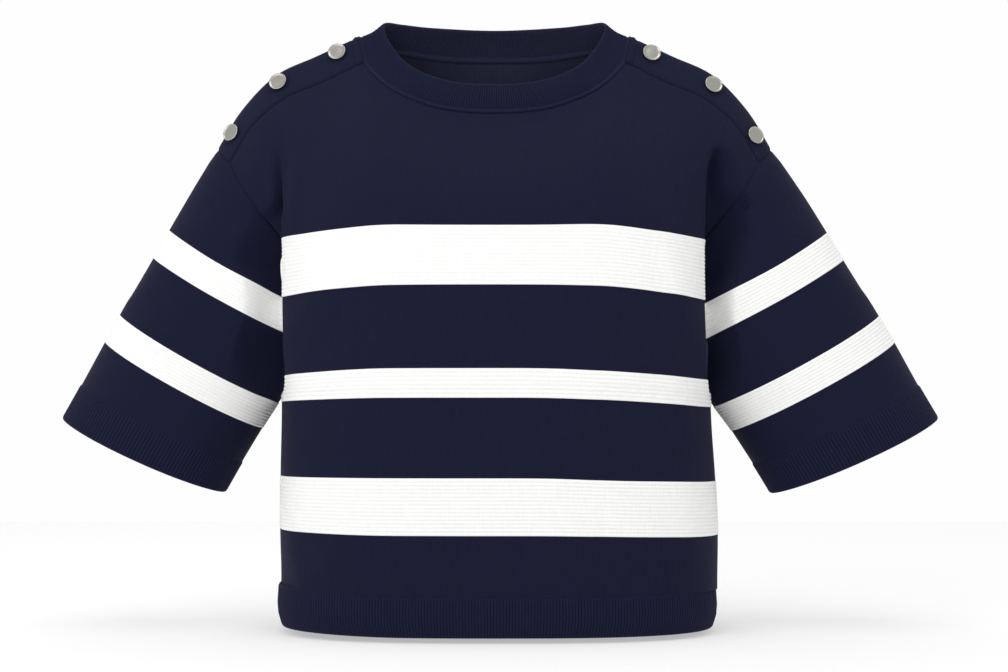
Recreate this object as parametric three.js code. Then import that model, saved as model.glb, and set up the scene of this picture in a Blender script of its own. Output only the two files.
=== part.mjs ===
// A short, boxy knitted top with half sleeves, filled out as if it were worn. The front and the back
// are two panels, joined over each shoulder by a button strip. The collar, hem and cuffs are ribbed
// bands. Every piece of cloth is a thin wall, open at the neck, the hem and the cuffs. Sizes are in
// millimetres. X runs across the garment, Y from the front to the back, and Z up. The origin is midway
// between the two points where the shoulder ridges meet the collar.

import * as THREE from "three";

// Cloth and seams
const KNIT_THICKNESS = 2;
const BAND_THICKNESS = 2.2;
const STRIP_THICKNESS = 2.4;
const STRIP_PROUD = 0.7;
const BAND_PROUD = 0.5;
const SEAM_GAP = 0.35;
const HALF_GAP = SEAM_GAP / 2;
const MITRE = 1.2;
const ARMHOLE_GAP = 1.7;
const UNDERARM_GAP = 3.2;
const CAP_GAP = 0.6;

// Ribs of the knit: the pale stripes have ridges along them, and the bands have ridges across them
const STRIPE_RIB_PITCH = 4;
const STRIPE_RIB_HEIGHT = 0.7;
const BAND_RIB_HEIGHT = 0.5;
const HEM_RIBS_A_COLUMN = 5;
const CUFF_RIBS_A_COLUMN = 4;
const COLLAR_RIBS_A_COLUMN = 2;

// The body from the hem to the chest. z is the height at the centre front, half the greatest half
// width, and front and back the depths from the side seam. The cloth hangs lower at the sides than at
// the centre, by drop and lean together on the left and by drop less lean on the right. On the left it
// also sags by dip between the centre and the side.
const BODY = [
  { z: -497, half: 180, front: 109, back: 100, drop: -0.8, lean: 0.6, dip: 0 },
  { z: -484, half: 183.6, front: 113, back: 103, drop: -1.8, lean: 1.2, dip: 0 },
  { z: -464.5, half: 182.2, front: 113, back: 103, drop: -2.5, lean: 1.5, dip: 0.2 },
  { z: -416, half: 182.5, front: 115, back: 103, drop: 1.1, lean: 2.2, dip: 0.9 },
  { z: -371, half: 181.5, front: 116, back: 103, drop: 2.1, lean: 2.1, dip: 1.9 },
  { z: -308, half: 179.5, front: 117, back: 104, drop: 3.9, lean: 2.3, dip: 1.6 },
  { z: -285, half: 181, front: 117, back: 105, drop: 5.3, lean: 1.8, dip: 2 },
  { z: -219.5, half: 181, front: 114, back: 106, drop: 6.3, lean: 1.2, dip: 0.6 },
  { z: -174, half: 181, front: 104, back: 105, drop: 5, lean: 0.7, dip: -0.4 },
];
const DROP_FROM = 0.4;
const DIP_AT = 0.46;
const DIP_WIDTH = 0.17;
const SECTION_POWER = 2.8;
const HEM_EDGE = BODY[0].z;
const HEM_SEAM = BODY[2].z;
const YOKE_LINE = BODY[8].z;
const SWAY = 2.5;
const SWAY_FROM = -300;
const SWAY_TO = -430;

// The three pale stripes of the body, by the height of their edges at the centre front
const BODY_STRIPES = [
  { lower: -416, upper: -371 },
  { lower: -308, upper: -285 },
  { lower: -219.5, upper: -174 },
];

// The fold beside each armhole: its angle round the body, and the share of a half panel from the centre
// to the fold
const FOLD_ANGLE = THREE.MathUtils.degToRad(18);
const FOLD_SHARE = 0.8;

// The shoulder ridge from the collar to the sleeve. x and z place the ridge. The front edge of the
// strip lies frontIn nearer the neck, frontDown lower and frontReach further forward, and the back edge
// likewise. sharp says how narrow the ridge is.
const RIDGE = [
  {
    x: 115.5, z: 0, sharp: 5,
    frontIn: 5, frontDown: 25, frontReach: 19,
    backIn: 3, backDown: 4, backReach: 12,
  },
  {
    x: 151, z: -16.3, sharp: 4.5,
    frontIn: 8, frontDown: 25, frontReach: 20,
    backIn: 3, backDown: 7, backReach: 13,
  },
  {
    x: 185, z: -32.4, sharp: 3.5,
    frontIn: 9.5, frontDown: 23, frontReach: 21,
    backIn: 4, backDown: 7, backReach: 14,
  },
  {
    x: 213.5, z: -61.5, sharp: 2,
    frontIn: 11.5, frontDown: 17, frontReach: 23,
    backIn: 5, backDown: 5, backReach: 14,
  },
  {
    x: 234.5, z: -95.5, sharp: 1,
    frontIn: 12.5, frontDown: 12, frontReach: 25,
    backIn: 4, backDown: 3.5, backReach: 14,
  },
];

// The armhole seam below the shoulder strip, down to the underarm
const ARMHOLE = [
  { x: 209, z: -132, front: -38, back: 37 },
  { x: 193.5, z: -153, front: -45, back: 46 },
  { x: 174, z: -175, front: -47, back: 51 },
  { x: 166.5, z: -215, front: -44, back: 50 },
  { x: 166, z: -255, front: -36, back: 42 },
  { x: 170.5, z: -290, front: -19, back: 23 },
];
const UNDERARM = { x: 180, z: -303.5 };

// The neck seam from the centre to the shoulder strip, at the front and at the back, and the collar's
// upper edge
const NECK_FRONT = [
  { x: 0, y: -50, z: -73.5 },
  { x: 28, y: -49, z: -72 },
  { x: 55, y: -45, z: -66 },
  { x: 87, y: -35, z: -50 },
];
const NECK_BACK = [
  { x: 80, y: 30, z: -7 },
  { x: 42, y: 42, z: -10 },
  { x: 0, y: 45, z: -10.5 },
];
const COLLAR_TOP = [
  { x: 0, y: -44, z: -48 },
  { x: 39, y: -41, z: -44 },
  { x: 71.5, y: -30, z: -28.5 },
  { x: 90, y: -12, z: -3.5 },
  { x: 93.5, y: 2, z: 13.3 },
  { x: 80, y: 20, z: 16.4 },
  { x: 55, y: 30, z: 16.2 },
  { x: 0, y: 38, z: 15.6 },
];
// How far the collar's middle bows out at the front and the back, and in beside the shoulder ridges
const COLLAR_BOW = { out: 1.6, in: 2, from: 68, to: 112 };

// Each sleeve hangs from the outer end of the ridge. swing is its angle from the vertical, length runs
// along its outer edge, and width is measured across it. bow is how far the outer edge bulges, and trim
// how far the inner edge is taken in, each at the most. Facing the garment from the front, its right
// sleeve is at -X.
const SLEEVES = [
  {
    name: "right", sign: -1, swing: 29.7, skew: 0,
    length: 262, width: 150.5, bow: 1.6, trim: 2.4,
  },
  {
    name: "left", sign: 1, swing: 31.4, skew: 2,
    length: 267, width: 154, bow: 3.6, trim: 3,
  },
];
// Sleeve sections: up is the distance from the cuff edge along the outer edge, tilt turns the section,
// in degrees, and depth is half its size from front to back. sag is how far the middle of the front and
// the back hangs below the edges, and bow and trim are shares of the sleeve's own.
const SLEEVE = [
  { up: 0, tilt: 4.7, depth: 53, sag: 2.6, bow: 0.45, trim: 1 },
  { up: 33, tilt: 3.6, depth: 54, sag: 2.8, bow: 0.55, trim: 1 },
  { up: 74, tilt: 0.6, depth: 54.5, sag: 2.6, bow: 1, trim: 0.7 },
  { up: 100, tilt: 0.3, depth: 54.5, sag: 3, bow: 0.95, trim: 0.4 },
  { up: 155.5, tilt: 0, depth: 53, sag: 3.2, bow: 0.85, trim: 0 },
  { up: 182.5, tilt: -0.5, depth: 51, sag: 4, bow: 0.95, trim: 0 },
  { up: 225, tilt: -1, depth: 46, sag: 2, bow: 0.8, trim: 0 },
  { up: 262, tilt: -1, depth: 40, sag: 0, bow: 0.3, trim: 0 },
];
const SLEEVE_POWER = 2.15;
const CAP_TOP = 13;
const CUFF_SEAM = SLEEVE[1].up;
const SLEEVE_STRIPES = [
  { lower: 74, upper: 100 },
  { lower: 155.5, upper: 182.5 },
];

// Buttons: three on each shoulder strip. along runs from the collar to the sleeve and across from the
// ridge to the front edge of the strip, both as shares.
const BUTTONS = {
  right: [
    { along: 0.13, across: 0.38 },
    { along: 0.5, across: 0.5 },
    { along: 0.875, across: 0.57 },
  ],
  left: [
    { along: 0.13, across: 0.42 },
    { along: 0.52, across: 0.53 },
    { along: 0.875, across: 0.71 },
  ],
};
const BUTTON_RADIUS = 7.6;
const BUTTON_RIM = 1.5;
const BUTTON_DOME = 0.5;
const SHANK_RADIUS = 2;
const SHANK_HEIGHT = 1.6;
const BUTTON_BEVEL = { inward: 0.6, under: 0.5, over: 0.4 };
const BUTTON_LIFT = 0.75;
const BUTTON_DROOP = THREE.MathUtils.degToRad(12);
const BUTTON_SIDES = 16;

// Fineness of the meshes
const BODY_SHARES = [0, 0.2, 0.38, 0.54, 0.67, 0.8, 0.91, 1];
const NECK_COLUMNS = 7;
const STRIP_COLUMNS = 7;
const STRIP_ROWS = [-1, -0.72, -0.46, -0.24, 0, 0.3, 0.65, 1];
const YOKE_ROWS = 8;
const WIDE_STEP = 24;
const CLOSE_STEP = 11;
const SLEEVE_COLUMNS = 16;

const EDGE_SAMPLES = 400;

// How closely curves are searched, and how near two levels are the same one
const SEARCH_STEPS = 40;
const REFINE_STEPS = 6;
const LEVEL_STEPS = 20;
const SAME_LEVEL = 0.01;

const FRONT = -1;
const BACK = 1;

// Small helpers

function mix(a, b, share) {
  return a + (b - a) * share;
}

function smooth(share) {
  const t = Math.min(1, Math.max(0, share));
  return t * t * (3 - 2 * t);
}

function range(count, map) {
  return Array.from({ length: count + 1 }, (_, i) => map(i / count, i));
}

// A smooth function of one column of a table, through every row of another column
function through(table, key, value) {
  const rows = [...table].sort((p, q) => p[key] - q[key]);
  const last = rows.length - 1;
  const slope = rows.map((row, i) => {
    const before = rows[Math.max(0, i - 1)];
    const after = rows[Math.min(last, i + 1)];
    return (after[value] - before[value]) / (after[key] - before[key]);
  });
  return (at) => {
    let i = 0;
    while (i < last - 1 && at > rows[i + 1][key]) i += 1;
    const step = rows[i + 1][key] - rows[i][key];
    const t = (Math.min(rows[last][key], Math.max(rows[0][key], at)) - rows[i][key]) / step;
    const rise = rows[i + 1][value] - rows[i][value];
    const bend = (slope[i] * step - rise) * (1 - t) + (rise - slope[i + 1] * step) * t;
    return rows[i][value] + rise * t + t * (1 - t) * bend;
  };
}

// A smooth curve through points, with even steps from point to point. before and after lead it in and out.
function curveThrough(points, before, after) {
  const all = [before, ...points, after];
  return (share) => {
    const place = Math.min(1, Math.max(0, share)) * (points.length - 1);
    const i = Math.min(points.length - 2, Math.floor(place));
    const t = place - i;
    const [a, b, c, d] = all.slice(i, i + 4);
    const slope = c.clone().sub(a);
    const bend = a.clone().multiplyScalar(2).addScaledVector(b, -5).addScaledVector(c, 4).sub(d);
    const twist = b.clone().multiplyScalar(3).sub(a).addScaledVector(c, -3).add(d);
    return b.clone()
      .multiplyScalar(2)
      .addScaledVector(slope, t)
      .addScaledVector(bend, t * t)
      .addScaledVector(twist, t * t * t)
      .multiplyScalar(0.5);
  };
}

// The share of a curve at which a rising measure reaches a value
function shareWhere(measure, value) {
  let low = 0;
  let high = 1;
  for (let i = 0; i < SEARCH_STEPS; i += 1) {
    const middle = (low + high) / 2;
    if (measure(middle) < value) low = middle;
    else high = middle;
  }
  return (low + high) / 2;
}

// A point of a rounded-box section: half wide, depth deep, at an angle from the side towards the front
// or back
function sectionPoint(half, depth, angle, power) {
  const x = Math.abs(Math.cos(angle));
  const y = Math.abs(Math.sin(angle));
  const radius = ((x / half) ** power + (y / depth) ** power) ** (-1 / power);
  return [Math.cos(angle) * radius, Math.sin(angle) * radius];
}

// The shoulder ridge and the strip that lies over it

const ridge = {};
const ridgeRows = RIDGE.map((row, i) => ({ ...row, along: i / (RIDGE.length - 1) }));
for (const name of Object.keys(RIDGE[0])) ridge[name] = through(ridgeRows, "along", name);

// Height lost from the ridge to a share of the way to the strip's edge: a rounded peak that turns into
// a slope
function peak(share, sharp) {
  return (Math.sqrt((sharp * share) ** 2 + 1) - 1) / (Math.sqrt(sharp ** 2 + 1) - 1);
}

// A point over the shoulder at +X: across is -1 at the front edge, 0 on the ridge and 1 at the back edge
function shoulderPoint(along, across) {
  const face = across < 0 ? "front" : "back";
  const fall = peak(Math.abs(across), ridge.sharp(along));
  return new THREE.Vector3(
    ridge.x(along) - ridge[`${face}In`](along) * fall,
    across * ridge[`${face}Reach`](along),
    ridge.z(along) - ridge[`${face}Down`](along) * fall,
  );
}

function vector(row) {
  return new THREE.Vector3(row.x, row.y, row.z);
}

function mirrored(point) {
  return new THREE.Vector3(-point.x, point.y, point.z);
}

// The armhole loop at +X, as a function of a share that is 0 on the ridge, STRIP_CORNER at the strip's
// corner and 1 at the underarm
const STRIP_CORNER = 0.2;
const SEAM_LEAD = 0.4;
const seamRows = { [FRONT]: [], [BACK]: [] };
for (const row of ARMHOLE) {
  seamRows[FRONT].push(vector({ ...row, y: row.front }));
  seamRows[BACK].push(vector({ ...row, y: row.back }));
}

function armholeCurve(face) {
  const keys = [shoulderPoint(1, face), ...seamRows[face], vector({ ...UNDERARM, y: 0 })];
  const below = curveThrough(keys, shoulderPoint(1, face * SEAM_LEAD), seamRows[-face][ARMHOLE.length - 1]);
  return (share) => (share <= STRIP_CORNER
    ? shoulderPoint(1, (face * share) / STRIP_CORNER)
    : below((share - STRIP_CORNER) / (1 - STRIP_CORNER)));
}

const armhole = { [FRONT]: armholeCurve(FRONT), [BACK]: armholeCurve(BACK) };

// The neck seam at +X, from the centre to the strip's corner
const NECK_LEAD = 0.5;

function neckCurve(face) {
  const rows = face === FRONT ? NECK_FRONT : [...NECK_BACK].reverse();
  const keys = [...rows.map(vector), shoulderPoint(0, face)];
  return curveThrough(keys, mirrored(keys[1]), shoulderPoint(0, face * NECK_LEAD));
}

const neck = { [FRONT]: neckCurve(FRONT), [BACK]: neckCurve(BACK) };

// The body below the yoke line

const body = {};
for (const name of ["half", "front", "back", "drop", "lean", "dip"]) body[name] = through(BODY, "z", name);

function sway(z) {
  return SWAY * smooth((SWAY_FROM - z) / (SWAY_FROM - SWAY_TO));
}

// The end of a half row at +X: on the side seam below the underarm, and on the armhole seam above it
function rowEnd(face, z, half) {
  if (z <= UNDERARM.z) return new THREE.Vector3(half, 0, z);
  return armhole[face](shareWhere((share) => -armhole[face](share).z, -z));
}

// How much lower a row ends at the side than at the centre. side is 1 on the left and -1 on the right.
function dropAt(height, side) {
  return body.drop(height) + side * body.lean(height);
}

// A point of the body, as if at +X, at a height and a share of the way from the centre to the seam. The
// share is negative for the right side. From the centre to the fold the point follows the section, and
// from the fold it is drawn in to the armhole seam.
function bodyPoint(face, height, signedShare) {
  const share = Math.abs(signedShare);
  const half = body.half(height);
  const depth = face === FRONT ? body.front(height) : body.back(height);
  const drop = dropAt(height, Math.sign(signedShare));
  const dip = signedShare > 0 ? body.dip(height) * Math.exp(-(((share - DIP_AT) / DIP_WIDTH) ** 2)) : 0;
  const z = height - dip - drop * smooth((share - DROP_FROM) / (FOLD_SHARE - DROP_FROM));
  const end = rowEnd(face, height - drop, half);
  const endDepth = Math.min(Math.abs(end.y), depth) / depth;
  const endX = half * (1 - endDepth ** SECTION_POWER) ** (1 / SECTION_POWER);
  const endAngle = Math.atan2(endDepth * depth, endX);
  const inner = share < FOLD_SHARE;
  const part = inner ? share / FOLD_SHARE : (share - FOLD_SHARE) / (1 - FOLD_SHARE);
  const angle = inner ? mix(Math.PI / 2, FOLD_ANGLE, part) : mix(FOLD_ANGLE, endAngle, part);
  const [x, y] = sectionPoint(half, depth, angle, SECTION_POWER);
  const pull = inner ? 0 : smooth(part);
  return new THREE.Vector3(x + pull * (end.x - endX), face * y, z);
}

function placed(point, side) {
  return new THREE.Vector3(side * point.x + sway(point.z), point.y, point.z);
}

// The yoke above the body: from the yoke line up to the neck seam and the shoulder strip

const NECK_SHARE = NECK_COLUMNS / (NECK_COLUMNS + STRIP_COLUMNS);

// The yoke's upper edge at +X, from the centre of the neck to the outer end of the strip
function yokeTop(face, share) {
  if (share <= NECK_SHARE) return neck[face](share / NECK_SHARE);
  return shoulderPoint((share - NECK_SHARE) / (1 - NECK_SHARE), face);
}

// The way in which the cloth runs on over the yoke's upper edge: up the neck, and over the ridge beside it
const UP_NECK = {
  [FRONT]: new THREE.Vector3(0, 0.5, 0.87).normalize(),
  [BACK]: new THREE.Vector3(0, -0.5, 0.75).normalize(),
};
const NEARER_RIDGE = 0.75;

function yokeTopWay(face, share) {
  const along = Math.max(0, (share - NECK_SHARE) / (1 - NECK_SHARE));
  const overRidge = shoulderPoint(along, face * NEARER_RIDGE).sub(shoulderPoint(along, face)).normalize();
  return UP_NECK[face].clone().lerp(overRidge, smooth(share / NECK_SHARE)).normalize();
}

// A column of the yoke: a cubic curve that leaves the body upwards and meets the yoke's upper edge.
// Beside the armhole it leaves the body in the way of the seam there.
const BELOW_YOKE = YOKE_LINE - 6;
const SEAM_BESIDE = { from: 0.42, to: 0.35 };

function besideSeam(share) {
  return smooth((share - FOLD_SHARE) / (1 - FOLD_SHARE));
}

function yokeColumn(face, signedShare, rise) {
  const share = Math.abs(signedShare);
  const start = bodyPoint(face, YOKE_LINE, signedShare);
  const below = bodyPoint(face, BELOW_YOKE, signedShare);
  const end = yokeTop(face, share);
  const reach = end.distanceTo(start);
  const seamWay = armhole[face](SEAM_BESIDE.to).sub(armhole[face](SEAM_BESIDE.from)).normalize();
  const startWay = start.clone().sub(below).normalize().lerp(seamWay, besideSeam(share)).normalize();
  return start.clone()
    .multiplyScalar(2 * rise ** 3 - 3 * rise ** 2 + 1)
    .addScaledVector(startWay, reach * (rise ** 3 - 2 * rise ** 2 + rise))
    .addScaledVector(end, 3 * rise ** 2 - 2 * rise ** 3)
    .addScaledVector(yokeTopWay(face, share), reach * (rise ** 3 - rise ** 2));
}

// The armhole seam beside the yoke
function yokeSeamPoint(face, side, rise) {
  const low = shareWhere((share) => -armhole[face](share).z, -bodyPoint(face, YOKE_LINE, side).z);
  return armhole[face](mix(low, STRIP_CORNER, rise));
}

// A point of the yoke. Its outer columns are drawn onto the armhole seam.
function yokePoint(face, signedShare, rise) {
  const side = Math.sign(signedShare) || 1;
  const miss = yokeSeamPoint(face, side, rise).sub(yokeColumn(face, side, rise));
  return yokeColumn(face, signedShare, rise).addScaledVector(miss, besideSeam(Math.abs(signedShare)));
}

// Skins and walls. A skin has points, faces and edge loops. Each loop entry has a mark, by which the
// outer and the inner skin are matched, so they may have different numbers of points.

function newSkin() {
  return { points: [], faces: [], loops: [] };
}

function addRow(skin, points) {
  const first = skin.points.length;
  skin.points.push(...points);
  return points.map((_, i) => first + i);
}

// Joins two rows of points that run the same way, which may have different numbers of points
function zip(faces, lower, upper, lowerMarks, upperMarks) {
  let i = 0;
  let j = 0;
  while (i < lower.length - 1 || j < upper.length - 1) {
    const lowerDone = i === lower.length - 1;
    const upperDone = j === upper.length - 1;
    if (upperDone || (!lowerDone && lowerMarks[i + 1] <= upperMarks[j + 1])) {
      faces.push([lower[i], lower[i + 1], upper[j]]);
      i += 1;
    } else {
      faces.push([lower[i], upper[j + 1], upper[j]]);
      j += 1;
    }
  }
}

function evenMarks(row) {
  return row.map((_, i) => i / (row.length - 1));
}

// Joins rows of points into faces. Each row has indices, and marks that say how far along the row each
// point lies.
function addRows(skin, rows) {
  for (let k = 0; k < rows.length - 1; k += 1) {
    const lower = rows[k].indices;
    const upper = rows[k + 1].indices;
    if (lower.length === upper.length) {
      for (let i = 0; i < lower.length - 1; i += 1) {
        skin.faces.push([lower[i], lower[i + 1], upper[i + 1]], [lower[i], upper[i + 1], upper[i]]);
      }
    } else {
      zip(skin.faces, lower, upper, rows[k].marks, rows[k + 1].marks);
    }
  }
}

function edgeOf(row, from, to) {
  return row.indices.slice(0, -1).map((index, i) => ({ index, mark: mix(from, to, row.marks[i]) }));
}

function backwards(row) {
  return { indices: [...row.indices].reverse(), marks: row.marks.map((mark) => 1 - mark).reverse() };
}

// An open panel from rows of points, lowest row first. Each row's level is its place on the panel's
// side edges.
function panelSkin(rows) {
  const skin = newSkin();
  const all = rows.map((row) => ({
    ...row,
    indices: addRow(skin, row.points),
    marks: row.marks || evenMarks(row.points),
  }));
  addRows(skin, all);
  const lowest = all[0];
  const highest = all[all.length - 1];
  const up = all.slice(0, -1).map((row) => ({ index: row.indices.at(-1), mark: 1 + row.level }));
  const down = all.slice(1).reverse().map((row) => ({ index: row.indices[0], mark: 4 - row.level }));
  skin.loops.push([...edgeOf(lowest, 0, 1), ...up, ...edgeOf(backwards(highest), 2, 3), ...down]);
  return skin;
}

// A tube of closed rings, or a sleeve, whose upper rows are open where the armhole is. An open row has
// both its ends.
function tubeSkin(rows) {
  const skin = newSkin();
  const all = rows.map((row) => {
    const own = addRow(skin, row.points);
    const indices = row.open ? own : [...own, own[0]];
    return { ...row, indices, marks: evenMarks(indices) };
  });
  addRows(skin, all);
  skin.loops.push(edgeOf(all[0], 0, 1));
  const highest = backwards(all[all.length - 1]);
  const firstOpen = rows.findIndex((row) => row.open);
  if (firstOpen < 0) {
    skin.loops.push(edgeOf(highest, 0, 1));
    return skin;
  }
  const seam = all.slice(firstOpen - 1);
  const up = seam.slice(0, -1).map((row) => ({ index: row.indices.at(-1), mark: row.level }));
  const down = seam.slice(1).reverse().map((row) => ({ index: row.indices[0], mark: 3 - row.level }));
  skin.loops.push([...up, ...edgeOf(highest, 1, 2), ...down]);
  return skin;
}

// The outward direction at each point of a skin, from the faces round it
function skinNormals(skin) {
  const normals = skin.points.map(() => new THREE.Vector3());
  for (const face of skin.faces) {
    const [a, b, c] = face.map((i) => skin.points[i]);
    const normal = b.clone().sub(a).cross(c.clone().sub(a));
    for (const i of face) normals[i].add(normal);
  }
  return normals.map((normal) => normal.normalize());
}

// A skin moved along its normals. move may be a distance, or a function of the point's index.
function moved(skin, move) {
  const normals = skinNormals(skin);
  const distance = typeof move === "function" ? move : () => move;
  const points = skin.points.map((point, i) => point.clone().addScaledVector(normals[i], distance(i)));
  return { ...skin, points };
}

// A closed wall between an outer and an inner skin, with its edges closed loop by loop
function wall(outer, inner) {
  const faces = [...outer.faces];
  const shift = outer.points.length;
  for (const [a, b, c] of inner.faces) faces.push([a + shift, c + shift, b + shift]);
  outer.loops.forEach((loop, k) => {
    const other = inner.loops[k];
    const around = (entries, offset) => [...entries, entries[0]].map((entry) => entry.index + offset);
    const marks = (entries) => [...entries.map((entry) => entry.mark), Infinity];
    zip(faces, around(other, shift), around(loop, 0), marks(other), marks(loop));
  });
  return solid([...outer.points, ...inner.points], faces);
}

function solid(points, faces) {
  let volume = 0;
  for (const [a, b, c] of faces) volume += points[a].dot(points[b].clone().cross(points[c]));
  const outward = volume > 0 ? faces : faces.map(([a, b, c]) => [a, c, b]);
  const geometry = new THREE.BufferGeometry();
  const coordinates = points.flatMap((point) => point.toArray());
  geometry.setAttribute("position", new THREE.Float32BufferAttribute(coordinates, 3));
  geometry.setIndex(outward.flat());
  geometry.computeVertexNormals();
  return geometry;
}

// Heights of rows between two levels: even steps, and in a stripe two rows a rib, of which every other
// one is raised
function plainLevels(from, to, step) {
  const count = Math.max(1, Math.round(Math.abs(to - from) / step));
  return range(count, (share) => ({ at: mix(from, to, share), relief: 0 }));
}

function ribLevels(from, to) {
  const ribs = Math.round(Math.abs(to - from) / STRIPE_RIB_PITCH);
  return range(ribs * 2, (share, i) => {
    const relief = i % 2 ? STRIPE_RIB_HEIGHT : 0;
    return { at: mix(from, to, share), relief };
  });
}

// Levels from a start to an end, with ribs in the stripes on the way. Steps are close above the underarms.
function levelsWith({ start, end, stripes, ribbed, underarms }) {
  const marks = [start, ...stripes.flatMap((stripe) => [stripe.lower, stripe.upper]), ...underarms, end]
    .sort((p, q) => p - q)
    .filter((mark, i, all) => mark >= start && mark <= end && (i === 0 || mark - all[i - 1] > SAME_LEVEL));
  const levels = marks.slice(0, -1).flatMap((low, i) => {
    const high = marks[i + 1];
    const middle = (low + high) / 2;
    const inStripe = stripes.some((stripe) => middle > stripe.lower && middle < stripe.upper);
    const step = low >= Math.min(...underarms) ? CLOSE_STEP : WIDE_STEP;
    const part = inStripe && ribbed ? ribLevels(low, high) : plainLevels(low, high, step);
    return part.slice(0, -1);
  });
  return [...levels, { at: end, relief: 0 }];
}

// Front and back panels

function bothSides(halfShares) {
  return [...halfShares.slice(1).reverse().map((share) => -share), ...halfShares];
}

// The level of the row that ends at the underarm
function underarmLevel(side) {
  let level = UNDERARM.z;
  for (let i = 0; i < LEVEL_STEPS; i += 1) level = UNDERARM.z + dropAt(level, side);
  return level;
}

function panelRows(face, ribbed) {
  const start = HEM_SEAM + HALF_GAP;
  const underarms = [-1, 1].map(underarmLevel);
  const levels = levelsWith({ start, end: YOKE_LINE, stripes: BODY_STRIPES, ribbed, underarms });
  const shares = bothSides(BODY_SHARES);
  const lower = levels.map((level) => ({
    level: (level.at - start) / (2 * (YOKE_LINE - start)),
    relief: level.relief,
    marks: shares.map((share) => (share + 1) / 2),
    points: shares.map((share) => placed(bodyPoint(face, level.at, share), Math.sign(share) || 1)),
  }));
  const yokeShares = bothSides(range(NECK_COLUMNS + STRIP_COLUMNS, (share) => share));
  const upper = range(YOKE_ROWS, (rise) => ({
    level: 0.5 + rise / 2,
    relief: 0,
    marks: yokeShares.map((share) => (share + 1) / 2),
    points: yokeShares.map((share) => placed(yokePoint(face, share, rise), Math.sign(share) || 1)),
  }));
  return [...lower, ...upper.slice(1)];
}

function drawnTo(point, towards, distance) {
  const way = towards.clone().sub(point);
  return point.clone().addScaledVector(way, distance / way.length());
}

// Draws a panel's edges in along the panel, at its sides and its top
function insetRows(rows, distance) {
  const top = rows.length - 1;
  return rows.map((row, k) => {
    const points = [...row.points];
    const end = points.length - 1;
    points[0] = drawnTo(row.points[0], row.points[1], distance);
    points[end] = drawnTo(row.points[end], row.points[end - 1], distance);
    if (k < top) return { ...row, points };
    return { ...row, points: points.map((point, i) => drawnTo(point, rows[k - 1].points[i], distance)) };
  });
}

function reliefOf(rows) {
  return rows.flatMap((row) => row.points.map((_, i) => {
    const edge = i === 0 || i === row.points.length - 1;
    return edge ? 0 : row.relief;
  }));
}

// Facing out of the body, a front row runs towards +X and a back row towards -X
function facing(rows, face) {
  if (face === FRONT) return rows;
  return rows.map((row) => ({ ...row, points: [...row.points].reverse() }));
}

function panel(face) {
  const outerRows = insetRows(facing(panelRows(face, true), face), HALF_GAP);
  const innerRows = insetRows(facing(panelRows(face, false), face), HALF_GAP + MITRE);
  const relief = reliefOf(outerRows);
  const outer = moved(panelSkin(outerRows), (i) => relief[i]);
  const inner = moved(panelSkin(innerRows), -KNIT_THICKNESS);
  return wall(outer, inner);
}

// Ribbed bands. A band is a tube of rings that follow its columns. From one ring upwards its outside
// has ribs, a few for each column, and its inside is plain.

function ribbedRing(points, normals, ribs) {
  return points.flatMap((point, i) => {
    const next = (i + 1) % points.length;
    const ribbed = range(2 * ribs, (share, k) => {
      const normal = normals[i].clone().lerp(normals[next], share).normalize();
      return point.clone().lerp(points[next], share).addScaledVector(normal, k % 2 ? BAND_RIB_HEIGHT : 0);
    });
    return ribbed.slice(0, -1);
  });
}

function band(rings, ribs, ribbedFrom, proud) {
  const skin = tubeSkin(rings.map((points) => ({ points })));
  const normals = skinNormals(skin);
  const columns = rings[0].length;
  const outside = moved(skin, proud);
  const rows = rings.map((_, k) => {
    const points = outside.points.slice(k * columns, (k + 1) * columns);
    const ringNormals = normals.slice(k * columns, (k + 1) * columns);
    return { points: k < ribbedFrom ? points : ribbedRing(points, ringNormals, ribs) };
  });
  return wall(tubeSkin(rows), moved(skin, proud - BAND_THICKNESS));
}

// The hem band

const HEM_ROUNDED_AT = 0.45;

function hemBand() {
  const half = (face, side) => BODY_SHARES.slice(0, -1).map((share) => ({ face, side, share }));
  const turned = (list) => list.map((place, i, all) => ({ ...all[all.length - 1 - i] }));
  const edge = (side) => [{ face: FRONT, side, share: 1 }];
  const back = (side) => half(BACK, side);
  const places = [
    ...half(FRONT, 1),
    ...edge(1),
    ...turned(back(1)),
    ...back(-1).slice(1),
    ...edge(-1),
    ...turned(half(FRONT, -1).slice(1)),
  ];
  const heights = [HEM_EDGE, mix(HEM_EDGE, BODY[1].z, HEM_ROUNDED_AT), BODY[1].z, HEM_SEAM - HALF_GAP];
  const rings = heights.map((height) => places.map(({ face, side, share }) => (
    placed(bodyPoint(face, height, side * share), side))));
  return band(rings, HEM_RIBS_A_COLUMN, 2, BAND_PROUD);
}

// Sleeves

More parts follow.
